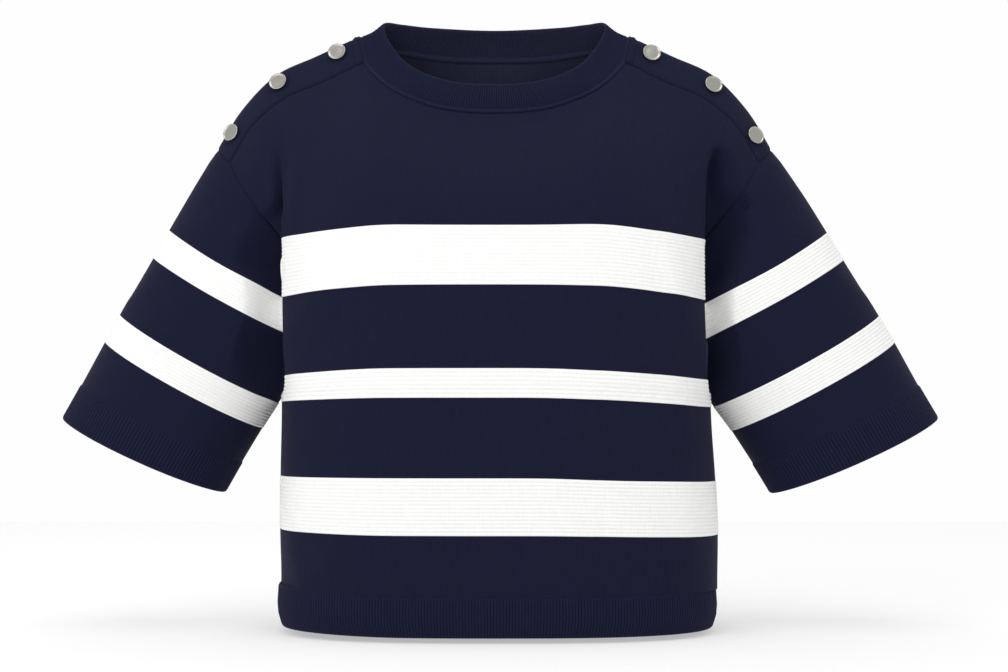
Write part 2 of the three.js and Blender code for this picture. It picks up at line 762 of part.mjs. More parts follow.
function sleeveFrame(sleeve) {
  const swing = THREE.MathUtils.degToRad(sleeve.swing);
  const tip = shoulderPoint(1, 0);
  const down = new THREE.Vector3(Math.sin(swing), 0, -Math.cos(swing));
  const inward = new THREE.Vector3(-Math.cos(swing), 0, -Math.sin(swing));
  const column = {};
  for (const name of ["tilt", "depth", "sag", "bow", "trim"]) column[name] = through(SLEEVE, "up", name);
  const slope = (up) => Math.tan(THREE.MathUtils.degToRad(column.tilt(up) + sleeve.skew));
  const bow = (up) => sleeve.bow * column.bow(up);
  const half = (up) => (sleeve.width + bow(up) - sleeve.trim * column.trim(up)) / 2;
  const frame = { tip };
  // How far up the sleeve a point lies, measured at the outer edge along its own section
  frame.upOf = (point) => {
    const offset = point.clone().sub(tip);
    const straight = sleeve.length - offset.dot(down);
    let up = straight;
    for (let i = 0; i < REFINE_STEPS; i += 1) up = straight - offset.dot(inward) * slope(up);
    return up;
  };
  // The angle round the section at which a point lies, from the outer edge towards the front
  frame.angleOf = (point, up) => {
    const inset = point.clone().sub(tip).dot(inward);
    return Math.atan2(-point.y, half(up) - bow(up) - inset);
  };
  // A point of the sleeve's section at an angle
  frame.point = (up, angle) => {
    const [across, depth] = sectionPoint(half(up), column.depth(up), angle, SLEEVE_POWER);
    const inset = half(up) - bow(up) - across;
    const sag = column.sag(up) * (depth / column.depth(up)) ** 2;
    return tip.clone()
      .addScaledVector(down, sleeve.length - up - inset * slope(up) + sag)
      .addScaledVector(inward, inset)
      .add(new THREE.Vector3(0, -depth, 0));
  };
  frame.underarm = frame.upOf(vector({ ...UNDERARM, y: 0 }));
  return frame;
}

// A row of the sleeve. Below the underarm it is a ring. Above, it runs from the front armhole seam over
// the outer edge to the back seam, and its ends are drawn onto the seams. Just below the underarm the
// rings are drawn to it.
const RING_DRAWN_FROM = 40;
const END_DRAWN_OVER = 0.3;

function sleeveRow(frame, up) {
  const shares = range(SLEEVE_COLUMNS, (share) => share);
  const open = up > frame.underarm + SAME_LEVEL;
  const lowEnd = vector({ ...UNDERARM, y: 0 });
  const ends = [FRONT, BACK].map((face) => {
    const seam = armhole[face];
    return open ? seam(shareWhere((share) => -frame.upOf(seam(share)), -up)) : lowEnd;
  });
  const angles = ends.map((end, k) => (open ? frame.angleOf(end, up) : (1 - 2 * k) * Math.PI));
  const drawn = smooth(1 - (frame.underarm - up) / RING_DRAWN_FROM);
  const levelAt = open ? up : frame.underarm;
  const misses = ends.map((end, k) => {
    const miss = end.clone().sub(frame.point(levelAt, angles[k]));
    return miss.multiplyScalar(drawn);
  });
  const points = shares.map((share) => frame.point(up, mix(angles[0], angles[1], share))
    .addScaledVector(misses[0], smooth(1 - share / END_DRAWN_OVER))
    .addScaledVector(misses[1], smooth(1 - (1 - share) / END_DRAWN_OVER)));
  return { open, points: open ? points : points.slice(0, -1) };
}

function sleeveRows(sleeve, ribbed) {
  const frame = sleeveFrame(sleeve);
  const start = CUFF_SEAM + HALF_GAP;
  const end = sleeve.length - CAP_TOP;
  const levels = levelsWith({ start, end, stripes: SLEEVE_STRIPES, ribbed, underarms: [frame.underarm] });
  const rows = levels.map((level) => ({
    ...sleeveRow(frame, level.at),
    relief: level.relief,
    level: Math.max(0, (level.at - frame.underarm) / (sleeve.length - frame.underarm)),
  }));
  const capEnd = [FRONT, BACK].map((face) => (
    shareWhere((share) => -frame.upOf(armhole[face](share)), CAP_TOP / 2 - sleeve.length)));
  const top = range(SLEEVE_COLUMNS, (share) => (share < 0.5
    ? armhole[FRONT](capEnd[0] * (1 - 2 * share))
    : armhole[BACK](capEnd[1] * (2 * share - 1))));
  return [...rows, { open: true, points: top, relief: 0, level: 1 }];
}

// Draws the sleeve's armhole edge back along the sleeve, clear of the body
function clearedRows(rows, distance) {
  const last = rows.length - 1;
  const firstOpen = rows.findIndex((row) => row.open);
  return rows.map((row, k) => {
    if (k < firstOpen - 1) return row;
    const below = rows[k - 1].points;
    const points = [...row.points];
    const end = points.length - 1;
    if (k === firstOpen - 1) points[0] = drawnTo(points[0], below[0], distance + UNDERARM_GAP);
    if (row.open) {
      points[0] = drawnTo(row.points[0], row.points[1], distance);
      points[end] = drawnTo(row.points[end], row.points[end - 1], distance);
    }
    if (k < last) return { ...row, points };
    return { ...row, points: points.map((point, i) => drawnTo(point, below[i], distance + CAP_GAP)) };
  });
}

// A piece made at +X, put on its own side. Its faces turn round as it is mirrored.
function onSideGeometry(geometry, sign) {
  if (sign > 0) return geometry;
  geometry.scale(-1, 1, 1);
  const index = geometry.getIndex();
  for (let i = 0; i < index.count; i += 3) {
    const second = index.getX(i + 1);
    index.setX(i + 1, index.getX(i + 2));
    index.setX(i + 2, second);
  }
  geometry.computeVertexNormals();
  return geometry;
}

function sleeveReliefOf(rows) {
  return rows.flatMap((row) => row.points.map((_, i) => {
    const edge = row.open && (i === 0 || i === row.points.length - 1);
    return edge ? 0 : row.relief;
  }));
}

function sleeveWall(sleeve) {
  const outerRows = clearedRows(sleeveRows(sleeve, true), ARMHOLE_GAP);
  const innerRows = clearedRows(sleeveRows(sleeve, false), ARMHOLE_GAP + MITRE);
  const relief = sleeveReliefOf(outerRows);
  const outer = moved(tubeSkin(outerRows), (i) => relief[i]);
  const inner = moved(tubeSkin(innerRows), -KNIT_THICKNESS);
  return onSideGeometry(wall(outer, inner), sleeve.sign);
}

function cuff(sleeve) {
  const frame = sleeveFrame(sleeve);
  const angles = range(SLEEVE_COLUMNS, (share) => mix(Math.PI, -Math.PI, share)).slice(0, -1);
  const rings = [0, CUFF_SEAM - HALF_GAP].map((up) => angles.map((angle) => frame.point(up, angle)));
  return onSideGeometry(band(rings, CUFF_RIBS_A_COLUMN, 0, BAND_PROUD), sleeve.sign);
}

// The collar: a ring between the neck seam and its upper edge

// The neck seam as a loop, with a point at each column of the yokes and at each row of the shoulder strips
function neckLoop() {
  const front = range(NECK_COLUMNS, (share) => neck[FRONT](share)).slice(0, -1);
  const over = STRIP_ROWS.map((across) => shoulderPoint(0, across));
  const back = range(NECK_COLUMNS, (share) => neck[BACK](1 - share)).slice(1);
  const right = [...front, ...over, ...back];
  return [...right, ...right.slice(1, -1).reverse().map(mirrored)];
}

const collarTop = curveThrough(
  COLLAR_TOP.map(vector),
  mirrored(vector(COLLAR_TOP[1])),
  mirrored(vector(COLLAR_TOP[COLLAR_TOP.length - 2])),
);

// The collar's upper edge above each point of the neck seam: the share of its length matches the seam's
function collarTopLoop(base) {
  const half = base.slice(0, base.length / 2 + 1);
  const seamLengths = runningLengths(half);
  const fine = range(EDGE_SAMPLES, (share) => collarTop(share));
  const edgeLengths = runningLengths(fine);
  const total = seamLengths[half.length - 1];
  const edgeTotal = edgeLengths[fine.length - 1];
  const right = seamLengths.map((length) => {
    const wanted = (length / total) * edgeTotal;
    const k = Math.max(1, edgeLengths.findIndex((at) => at >= wanted - 1e-6));
    const part = (wanted - edgeLengths[k - 1]) / (edgeLengths[k] - edgeLengths[k - 1]);
    return fine[k - 1].clone().lerp(fine[k], part);
  });
  return [...right, ...right.slice(1, -1).reverse().map(mirrored)];
}

function runningLengths(points) {
  const lengths = [0];
  for (let i = 1; i < points.length; i += 1) {
    lengths.push(lengths[i - 1] + points[i].distanceTo(points[i - 1]));
  }
  return lengths;
}

function collar() {
  const base = neckLoop();
  const top = collarTopLoop(base);
  const foot = base.map((point, i) => drawnTo(point, top[i], SEAM_GAP));
  const flat = tubeSkin([{ points: foot }, { points: top }]);
  const normals = skinNormals(flat);
  const middle = foot.map((point, i) => {
    const beside = smooth((Math.abs(point.x) - COLLAR_BOW.from) / (COLLAR_BOW.to - COLLAR_BOW.from));
    const bow = mix(COLLAR_BOW.out, -COLLAR_BOW.in, beside);
    return point.clone().lerp(top[i], 0.5).addScaledVector(normals[i], bow);
  });
  return band([foot, middle, top], COLLAR_RIBS_A_COLUMN, 0, 0);
}

// Shoulder strips: walls over the ridge, drawn in by half a seam gap on every side

function stripSkin(inset) {
  const rows = STRIP_ROWS.map((across, k) => ({
    level: k / (STRIP_ROWS.length - 1),
    points: range(STRIP_COLUMNS, (share) => shoulderPoint(share, across)),
  }));
  const drawn = insetRows(rows, inset);
  drawn[0].points = drawn[0].points.map((point, i) => drawnTo(point, rows[1].points[i], inset));
  return panelSkin(drawn);
}

function strip(sign) {
  const outer = moved(stripSkin(HALF_GAP), STRIP_PROUD);
  const inner = moved(stripSkin(HALF_GAP + MITRE), STRIP_PROUD - STRIP_THICKNESS);
  return onSideGeometry(wall(outer, inner), sign);
}

// A metal button: a turned disc with a low dome, on a short shank

function buttonGeometry() {
  const profile = [
    [0, 0],
    [SHANK_RADIUS, 0],
    [SHANK_RADIUS, SHANK_HEIGHT],
    [BUTTON_RADIUS - BUTTON_BEVEL.inward, SHANK_HEIGHT],
    [BUTTON_RADIUS, SHANK_HEIGHT + BUTTON_BEVEL.under],
    [BUTTON_RADIUS, SHANK_HEIGHT + BUTTON_RIM - BUTTON_BEVEL.over],
    [BUTTON_RADIUS - BUTTON_BEVEL.inward, SHANK_HEIGHT + BUTTON_RIM],
    [BUTTON_RADIUS * 0.5, SHANK_HEIGHT + BUTTON_RIM + BUTTON_DOME * 0.75],
    [0, SHANK_HEIGHT + BUTTON_RIM + BUTTON_DOME],
  ];
  const geometry = new THREE.LatheGeometry(profile.map(([r, h]) => new THREE.Vector2(r, h)), BUTTON_SIDES);
  geometry.rotateX(Math.PI / 2);
  return geometry;
}

// Where a button sits at +X: its foot, and the direction it faces, which droops a little towards the front
function buttonPlace({ along, across }) {
  const foot = shoulderPoint(along, -across);
  const down = shoulderPoint(along, -across - 0.05).sub(foot).normalize();
  const outward = shoulderPoint(along + 0.02, -across).sub(foot).normalize();
  const normal = down.clone().cross(outward).normalize();
  const face = normal.clone()
    .multiplyScalar(Math.cos(BUTTON_DROOP))
    .addScaledVector(down, Math.sin(BUTTON_DROOP));
  return { foot: foot.addScaledVector(normal, STRIP_PROUD + BUTTON_LIFT), face: face.normalize() };
}

// Materials

const navy = new THREE.MeshStandardMaterial({ color: 0x1b1f3a, roughness: 0.9, metalness: 0 });
const silver = new THREE.MeshStandardMaterial({ color: 0xc9c4ba, roughness: 0.3, metalness: 1 });

// The garment

const garment = new THREE.Group();

function add(name, geometry, material) {
  const mesh = new THREE.Mesh(geometry, material);
  mesh.name = name;
  garment.add(mesh);
  return mesh;
}

add("front", panel(FRONT), navy);
add("back", panel(BACK), navy);
add("hem_band", hemBand(), navy);
add("collar", collar(), navy);
for (const sleeve of SLEEVES) {
  add(`sleeve_${sleeve.name}`, sleeveWall(sleeve), navy);
  add(`cuff_${sleeve.name}`, cuff(sleeve), navy);
  add(`shoulder_strip_${sleeve.name}`, strip(sleeve.sign), navy);
  BUTTONS[sleeve.name].forEach((button, i) => {
    const place = buttonPlace(button);
    const mesh = add(`button_${sleeve.name}_${i + 1}`, buttonGeometry(), silver);
    mesh.position.set(sleeve.sign * place.foot.x, place.foot.y, place.foot.z);
    const faceWay = new THREE.Vector3(sleeve.sign * place.face.x, place.face.y, place.face.z);
    mesh.quaternion.setFromUnitVectors(new THREE.Vector3(0, 0, 1), faceWay);
  });
}

export default garment;
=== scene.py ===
"""A short, boxy knitted top with half sleeves, filled out with nobody in it.

Sizes are in metres. X runs across the garment, Y from its front to its back, and Z up. The origin is midway
between the points where the shoulder ridges meet the collar. The sections follow the garment as it is put
together.
"""
import math

import bpy
import numpy as np
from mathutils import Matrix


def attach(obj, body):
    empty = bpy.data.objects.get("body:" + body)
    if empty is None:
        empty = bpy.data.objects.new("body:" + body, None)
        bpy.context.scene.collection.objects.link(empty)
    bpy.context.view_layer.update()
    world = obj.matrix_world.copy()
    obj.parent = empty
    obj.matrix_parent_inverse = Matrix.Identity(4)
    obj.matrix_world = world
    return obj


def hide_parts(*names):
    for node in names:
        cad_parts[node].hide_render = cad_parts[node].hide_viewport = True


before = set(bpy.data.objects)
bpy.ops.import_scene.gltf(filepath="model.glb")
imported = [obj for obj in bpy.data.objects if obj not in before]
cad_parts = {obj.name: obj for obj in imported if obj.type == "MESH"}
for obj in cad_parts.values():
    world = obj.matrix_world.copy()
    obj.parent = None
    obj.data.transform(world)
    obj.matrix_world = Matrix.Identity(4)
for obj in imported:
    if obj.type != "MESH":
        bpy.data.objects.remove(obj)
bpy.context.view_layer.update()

# The shoulder strips. Each is a narrow band of plain knit over the shoulder ridge, from the collar to the
# sleeve, with a turned hem at the collar end. It is the button stand of the opening that lies under it.
FRONT, BACK = -1, 1


def table(names, *rows):
    """Rows of numbers as dictionaries. Their keys are the names of the columns, given in one string."""
    return [dict(zip(names.split(), row)) for row in rows]


RIDGE = table(
    "along x z front_in front_down front_reach back_in back_down back_reach sharp",
    (0, 0.1155, 0, 0.005, 0.025, 0.019, 0.003, 0.004, 0.012, 5),
    (0.25, 0.151, -0.0163, 0.008, 0.025, 0.02, 0.003, 0.007, 0.013, 4.5),
    (0.5, 0.185, -0.0324, 0.0095, 0.023, 0.021, 0.004, 0.007, 0.014, 3.5),
    (0.75, 0.2135, -0.0615, 0.0115, 0.017, 0.023, 0.005, 0.005, 0.014, 2),
    (1, 0.2345, -0.0955, 0.0135, 0.015, 0.025, 0.004, 0.0035, 0.014, 1),
)


def smooth(share):
    """A rise from 0 to 1 with level ends: t squared times (3 - 2t), with t held between 0 and 1."""
    t = np.clip(share, 0, 1)
    return t * t * (3 - 2 * t)


def through(rows, key):
    """Smooth functions of the key through a table, one for each other column: a cubic from row to row,
    sloped at each row like the chord of its neighbours."""
    rows = sorted(rows, key=lambda row: row[key])
    x = np.array([row[key] for row in rows], float)
    after = np.minimum(np.arange(len(x)) + 1, len(x) - 1)
    before = np.maximum(np.arange(len(x)) - 1, 0)

    def column(name):
        y = np.array([row[name] for row in rows], float)
        slope = (y[after] - y[before]) / (x[after] - x[before])

        def at(place):
            place = np.clip(place, x[0], x[-1])
            i = np.clip(np.searchsorted(x, place, side="right") - 1, 0, len(x) - 2)
            step = x[i + 1] - x[i]
            t = (place - x[i]) / step
            rise = y[i + 1] - y[i]
            bend = (slope[i] * step - rise) * (1 - t) + (rise - slope[i + 1] * step) * t
            return y[i] + rise * t + t * (1 - t) * bend

        return at

    return {name: column(name) for name in rows[0] if name != key}


ridge = through(RIDGE, "along")


def shoulder(along, across):
    """Points over the shoulder at +X. along is 0 at the collar and 1 at the sleeve, and across is -1 at the
    strip's front edge, 0 on the ridge and 1 at its back edge. Away from the ridge the strip falls as the
    square root of (sharp * across) squared + 1, less 1, scaled to reach 1 at the edge: a rounded peak that
    turns into a slope."""
    along, across = np.broadcast_arrays(np.asarray(along, float), np.asarray(across, float))
    sharp = ridge["sharp"](along)
    fall = (np.sqrt((sharp * across) ** 2 + 1) - 1) / (np.sqrt(sharp ** 2 + 1) - 1)
    inward, down, reach = (np.where(across < 0, ridge[f"front_{way}"](along), ridge[f"back_{way}"](along))
                           for way in ("in", "down", "reach"))
    x, z = ridge["x"](along) - inward * fall, ridge["z"](along) - down * fall
    return np.stack([x, across * reach, z], axis=-1)


def unit(vectors):
    """Vectors scaled to length 1."""
    return vectors / np.maximum(np.linalg.norm(vectors, axis=-1, keepdims=True), 1e-12)


def normals(points, closed_rows=False, closed_columns=False):
    """The outward direction at each point of a grid: the cross product of the way along its row and the way
    up its column, each from the point's neighbours. Rows run to the right as seen from outside, and columns
    run up."""
    def difference(values, axis, closed):
        if closed:
            return np.roll(values, -1, axis) - np.roll(values, 1, axis)
        return np.gradient(values, axis=axis)

    return unit(np.cross(difference(points, 1, closed_rows), difference(points, 0, closed_columns)))


def new_object(name, data):
    """An object of the scene that holds this data."""
    made = bpy.data.objects.new(name, data)
    bpy.context.scene.collection.objects.link(made)
    return made


def new_mesh(name, points, faces):
    """A smooth mesh object from lists of points and faces."""
    mesh = bpy.data.meshes.new(name)
    mesh.from_pydata(points, [], faces)
    mesh.polygons.foreach_set("use_smooth", np.full(len(faces), True))
    mesh.update()
    return new_object(name, mesh)


def add_mesh(name, points, faces, corner_uv, **shares):
    """A mesh object from points, quads and a UV for each corner. Its shares are kept for each point: pale
    is how white the yarn is, with a little painted light on the inside; the share for painted groove shade is
    1 on a rib and 0 in the groove beside it; and wrong_side is 1 on the inside of the garment, where light is
    painted."""
    made = new_mesh(name, points.tolist(), faces.tolist())
    made.data.uv_layers.new(name="cloth").data.foreach_set("uv", corner_uv.astype(np.float32).ravel())
    for kind, values in shares.items():
        kept = made.data.attributes.new(kind, "FLOAT", "POINT")
        kept.data.foreach_set("value", values.astype(np.float32).ravel())
    return made


def grid_faces(rows, columns, closed_rows=False):
    """The quads of a grid of points, and the row and column numbers of their corners. In closed rows the
    last column joins the first, and its corners' column numbers run on past the end."""
    r, c = np.meshgrid(np.arange(rows - 1), np.arange(columns if closed_rows else columns - 1), indexing="ij")
    r, c = r.ravel(), c.ravel()
    corner_rows = np.stack([r, r, r + 1, r + 1], axis=1)
    corner_columns = np.stack([c, c + 1, c + 1, c], axis=1)
    return corner_rows * columns + corner_columns % columns, corner_rows, corner_columns


# Painted light on the inside of the garment: its wrong side is at least this pale.
WRONG_SIDE_PAINTED_PALE = 0.0095


def cloth_panel(name, outer, inner, across, up, pale, open_air):
    """An open panel of cloth as a closed wall: an outer and an inner grid of points, and a rim round both.
    across and up are the cloth's own coordinates of each grid point, in metres. Its wrong side is a little
    paler: painted light, for the light that reaches inside the garment."""
    rows, columns = outer.shape[:2]
    count = rows * columns
    quads, _, _ = grid_faces(rows, columns)
    number = np.arange(count).reshape(rows, columns)
    border = np.concatenate([number[0, :-1], number[:-1, -1], number[-1, :0:-1], number[:0:-1, 0]])
    following = np.roll(border, -1)
    rim = np.stack([border, border + count, following + count, following], axis=1)
    faces = np.concatenate([quads, quads[:, ::-1] + count, rim])
    uv = np.stack([across, up], axis=-1).reshape(-1, 2)
    pale = pale.ravel()
    points = np.concatenate([outer.reshape(-1, 3), inner.reshape(-1, 3)])
    return add_mesh(name, points, faces, uv[faces % count],
                    pale=np.concatenate([pale, np.maximum(pale, WRONG_SIDE_PAINTED_PALE)]),
                    open_air=np.tile(open_air.ravel(), 2), wrong_side=np.repeat([0.0, 1.0], count))


MIRROR = np.array([-1, 1, 1])


def mirrored(points):
    """The same points on the other side of the garment, with each row turned round so that it faces
    outwards."""
    return (points * MIRROR)[:, ::-1]


TUCK = 0.0012


def tucked(points):
    """A grid of points with its edges carried on in their own direction by TUCK, to lie under the next
    piece."""
    for axis in (1, 0):
        first, second, last, before = (np.take(points, [k], axis) for k in (0, 1, -1, -2))
        points = np.concatenate([first + unit(first - second) * TUCK, points,
                                 last + unit(last - before) * TUCK], axis=axis)
    return points


def lengths(points):
    """Distances along the rows and up the columns of a grid of points."""
    run = np.cumsum(np.linalg.norm(np.diff(points, axis=1, prepend=points[:, :1]), axis=-1), axis=1)
    rise = np.cumsum(np.linalg.norm(np.diff(points, axis=0, prepend=points[:1]), axis=-1), axis=0)
    return run, rise


def bell(distance, width, height):
    """A soft ridge or groove: its height times the bell curve of the distance over its width."""
    return height * np.exp(-((distance / width) ** 2))


STRIP_THICKNESS = 0.0024
STRIP_PROUD = 0.0007
STRIP_HEM = {"from": 0.0062, "width": 0.0011, "depth": 0.0003, "proud": 0.0012, "rise": 0.0045}
# dark_width and dark: painted shade along the strip's edges, beside the groove of its seam.
STRIP_EDGE = {"width": 0.0016, "depth": 0.0009, "dark_width": 0.001, "dark": 0.8}


def strip_grid():
    """A shoulder strip at +X: the shoulder form, with its collar end carried on under the collar."""
    along = np.concatenate([[0, 0.003, 0.006], np.linspace(0.012, 0.07, 14), np.linspace(0.075, 0.985, 96),
                            [0.99, 0.995, 1]])
    across = np.concatenate([[-0.997, -0.985, -0.965], np.linspace(-0.94, 0.94, 54), [0.965, 0.985, 0.997]])
    points = shoulder(*np.meshgrid(along, across))
    return np.concatenate([points[:, :1] + unit(points[:, :1] - points[:, 1:2]) * TUCK, points], axis=1)


strip_points = strip_grid()
strip_run, strip_rise = lengths(strip_points)
strip_out = normals(strip_points)
from_collar = strip_run - TUCK
from_edge = np.minimum(np.minimum(strip_rise, strip_rise[-1] - strip_rise),
                       np.minimum(np.abs(from_collar), strip_run[:, -1:] - strip_run))
from_hem = from_collar - STRIP_HEM["from"]
strip_lift = (STRIP_PROUD + STRIP_HEM["proud"] * smooth(-from_hem / STRIP_HEM["rise"])
              - bell(from_edge, STRIP_EDGE["width"], STRIP_EDGE["depth"])
              - bell(from_hem, STRIP_HEM["width"], STRIP_HEM["depth"]))
# Painted shade: full in the groove at the strip's hem, and by STRIP_EDGE's dark along its edges.
strip_unshaded = (1 - bell(from_hem, STRIP_HEM["width"], 1)
             - bell(from_edge, STRIP_EDGE["dark_width"], STRIP_EDGE["dark"]))
strip_outer = strip_points + strip_out * strip_lift[..., None]
strip_inner = strip_points + strip_out * (STRIP_PROUD - STRIP_THICKNESS)
strip_pale = np.zeros(strip_run.shape)
strips = {
    "left": cloth_panel("strip_left", strip_outer, strip_inner, strip_run, strip_rise, strip_pale, strip_unshaded),
    "right": cloth_panel("strip_right", mirrored(strip_outer), mirrored(strip_inner),
                         -strip_run[:, ::-1], strip_rise[:, ::-1], strip_pale, strip_unshaded[:, ::-1]),
}


# The yarn of the whole garment: navy cotton, and white in the stripes. The fabric is a fine plain knit,
# whose columns of V-shaped stitches show only close by.
NAVY = (0.0074, 0.0091, 0.0272, 1)
WHITE = (0.92, 0.92, 0.905, 1)
# Painted light: how much brighter the navy is on the wrong side, for the light that reaches inside.
WRONG_SIDE_PAINTED_LIGHT = 1
# least and more paint shade and light from the stitches' height: the colour is scaled by least down between
# the stitches and by least plus more on their tops.
STITCH = {"width": 0.0016, "height": 0.0012, "lean": 1.4, "relief": 0.5, "least": 0.86, "more": 0.24}
FLECK = {"strength": 0.5, "scale": 650, "stretch": (1, 0.1, 1), "detail": 3}
SHADE_LOST_ON_WHITE = 0.75
COTTON = {"Roughness": 0.85, "Specular IOR Level": 0.08, "Sheen Weight": 0.04, "Sheen Roughness": 0.5,
          "Sheen Tint": (0.6, 0.65, 0.8, 1)}


def add_node(tree, kind, inputs=(), **settings):
    """The outputs of a new node with these settings. Each of its inputs is a value or another node's
    output."""
    node = tree.nodes.new(kind)
    for name, value in settings.items():
        setattr(node, name, value)
    for key, value in dict(inputs).items():
        if isinstance(value, bpy.types.NodeSocket):
            tree.links.new(value, node.inputs[key])
        else:
            node.inputs[key].default_value = value
    return node.outputs


def maths(tree):
    """A function that adds an operation on values or other nodes' outputs to a tree, and gives its
    output."""
    def worked(operation, *values):
        return add_node(tree, "ShaderNodeMath", enumerate(values), operation=operation)[0]

    return worked


def make_stitch_group():
    """Plain knit as a height from 0 to 1. Each stitch column has two legs, and each leg leans towards the
    column's middle as it falls: height is a bump across the leg times a bump along it, which starts lower
    away from the middle. The fleck is noise drawn out along the columns, for yarn that is a little uneven
    from column to column."""
    group = bpy.data.node_groups.new("knit_stitches", "ShaderNodeTree")
    sockets = (("Cloth", "INPUT", "Vector"), ("Width", "INPUT", "Float"), ("Height", "INPUT", "Float"),
               ("Stitch", "OUTPUT", "Float"), ("Fleck", "OUTPUT", "Float"))
    for name, way, kind in sockets:
        group.interface.new_socket(name=name, in_out=way, socket_type=f"NodeSocket{kind}")
    work = maths(group)
    given = add_node(group, "NodeGroupInput")
    place = add_node(group, "ShaderNodeSeparateXYZ", {0: given["Cloth"]})
    column_place = work("DIVIDE", place["X"], given["Width"])
    from_middle = work("ABSOLUTE", work("SUBTRACT", work("FRACT", column_place), 0.5))
    leg = work("ABSOLUTE", work("SUBTRACT", from_middle, 0.25))
    leg_bump = work("SUBTRACT", 1.0, work("POWER", work("MULTIPLY", leg, 4.0), 2.0))
    row_place = work("DIVIDE", place["Y"], given["Height"])
    leaning = work("SUBTRACT", row_place, work("MULTIPLY", from_middle, STITCH["lean"]))
    along = work("ABSOLUTE", work("SUBTRACT", work("FRACT", leaning), 0.5))
    along_bump = work("SUBTRACT", 1.0, work("POWER", work("MULTIPLY", along, 2.0), 3.0))
    drawn_out = add_node(group, "ShaderNodeVectorMath", {0: given["Cloth"], 1: FLECK["stretch"]},
                         operation="MULTIPLY")
    noise = add_node(group, "ShaderNodeTexNoise",
                     {"Vector": drawn_out[0], "Scale": FLECK["scale"], "Detail": FLECK["detail"]})
    stitch = work("MULTIPLY", leg_bump, along_bump)
    add_node(group, "NodeGroupOutput", {"Stitch": stitch, "Fleck": noise["Fac"]})
    return group


stitch_group = make_stitch_group()


def new_material(name, values):
    """A material with one shader that has these values, and that shader."""
    material = bpy.data.materials.new(name)
    material.use_nodes = True
    shader = material.node_tree.nodes["Principled BSDF"]
    for key, value in values.items():
        shader.inputs[key].default_value = value
    return material, shader


def knit_material(name, stitch_depth, groove_shade, width=STITCH["width"], height=STITCH["height"],
                  brightness=1.0):
    """Matte cotton knit: yarn colour by the pale attribute, with the stitches' relief as bump. The colour has
    painted shade between the stitches and painted light on their tops, all scaled by its brightness, is
    uneven by the fleck, and has painted shade by groove_shade in the grooves between ribs, and white yarn
    loses most of these shades. The navy is brighter on the wrong side: painted light, for the light that
    reaches inside the garment."""
    material, shader = new_material(name, COTTON)
    tree = material.node_tree
    work = maths(tree)
    cloth = add_node(tree, "ShaderNodeUVMap", uv_map="cloth")["UV"]
    stitches = add_node(tree, "ShaderNodeGroup", {"Cloth": cloth, "Width": width, "Height": height},
                        node_tree=stitch_group)
    pale, open_air, wrong_side = (add_node(tree, "ShaderNodeAttribute", attribute_name=kind)["Fac"]
                                  for kind in ("pale", "open_air", "wrong_side"))
    yarn = add_node(tree, "ShaderNodeMix", {"Factor": pale, "A": NAVY, "B": WHITE}, data_type="RGBA")
    # Painted shade between the stitches and painted light on their tops, then the fleck, then painted shade
    # in the rib grooves.
    lit = work("MULTIPLY_ADD", stitches["Stitch"], STITCH["more"] * brightness, STITCH["least"] * brightness)
    flecked = work("MULTIPLY_ADD", work("SUBTRACT", stitches["Fleck"], 0.5), FLECK["strength"], lit)
    grooved = work("MULTIPLY_ADD", open_air, groove_shade, 1 - groove_shade)
    dark = work("SUBTRACT", 1.0, work("MULTIPLY", flecked, grooved))
    less = work("MULTIPLY_ADD", pale, -SHADE_LOST_ON_WHITE, 1.0)
    faded = work("SUBTRACT", 1.0, work("MULTIPLY", dark, less))
    # Painted light on the wrong side's navy, for the light that reaches inside the garment.
    inside_painted_light = work("MULTIPLY_ADD", pale, -WRONG_SIDE_PAINTED_LIGHT, WRONG_SIDE_PAINTED_LIGHT)
    shade = work("MULTIPLY_ADD", faded, work("MULTIPLY", wrong_side, inside_painted_light), faded)
    colour = add_node(tree, "ShaderNodeMix", {"Factor": 1, "A": yarn["Result"], "B": shade},
                      data_type="RGBA", blend_type="MULTIPLY")
    tree.links.new(colour["Result"], shader.inputs["Base Color"])
    bump = add_node(tree, "ShaderNodeBump",
                    {"Strength": STITCH["relief"], "Distance": stitch_depth, "Height": stitches["Stitch"]})
    tree.links.new(bump["Normal"], shader.inputs["Normal"])
    return material


plain_knit = knit_material("plain_knit", 0.0002, 0.2)
for side, strip in strips.items():
    strip.data.materials.append(plain_knit)
    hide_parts(f"shoulder_strip_{side}")
    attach(strip, "root")


# The front and the back. Each is knitted in one piece up to the dropped shoulder: navy plain knit, and
# three white stripes in a horizontal rib. At each armhole the front folds back over the sleeve before it
# reaches the seam.
HEM_EDGE, HEM_SEAM, YOKE_LINE = -0.497, -0.4645, -0.174
BODY = table(
    "z half front back drop lean dip",
    (HEM_EDGE, 0.18, 0.109, 0.1, -0.0008, 0.0006, 0),
    (-0.484, 0.1836, 0.113, 0.103, -0.0018, 0.0012, 0),
    (HEM_SEAM, 0.1828, 0.113, 0.103, -0.0025, 0.0015, 0.0002),
    (-0.416, 0.1832, 0.115, 0.103, 0.0011, 0.0022, 0.0009),
    (-0.371, 0.182, 0.116, 0.103, 0.0021, 0.0021, 0.0019),
    (-0.308, 0.1795, 0.117, 0.104, 0.0039, 0.0023, 0.0016),
    (-0.285, 0.181, 0.117, 0.105, 0.0053, 0.0018, 0.002),
    (-0.2195, 0.181, 0.114, 0.106, 0.0063, 0.0012, 0.0006),
    (YOKE_LINE, 0.181, 0.104, 0.105, 0.005, 0.0007, -0.0004),
)
STRIPE_ENDS = ("lower", "upper")
BODY_STRIPES = table("lower upper ribs", (-0.416, -0.371, 15), (-0.308, -0.285, 7), (-0.2195, YOKE_LINE, 15))
FACES = {FRONT: "front", BACK: "back"}
SECTION_POWER = 2.8
DROP_FROM = 0.4
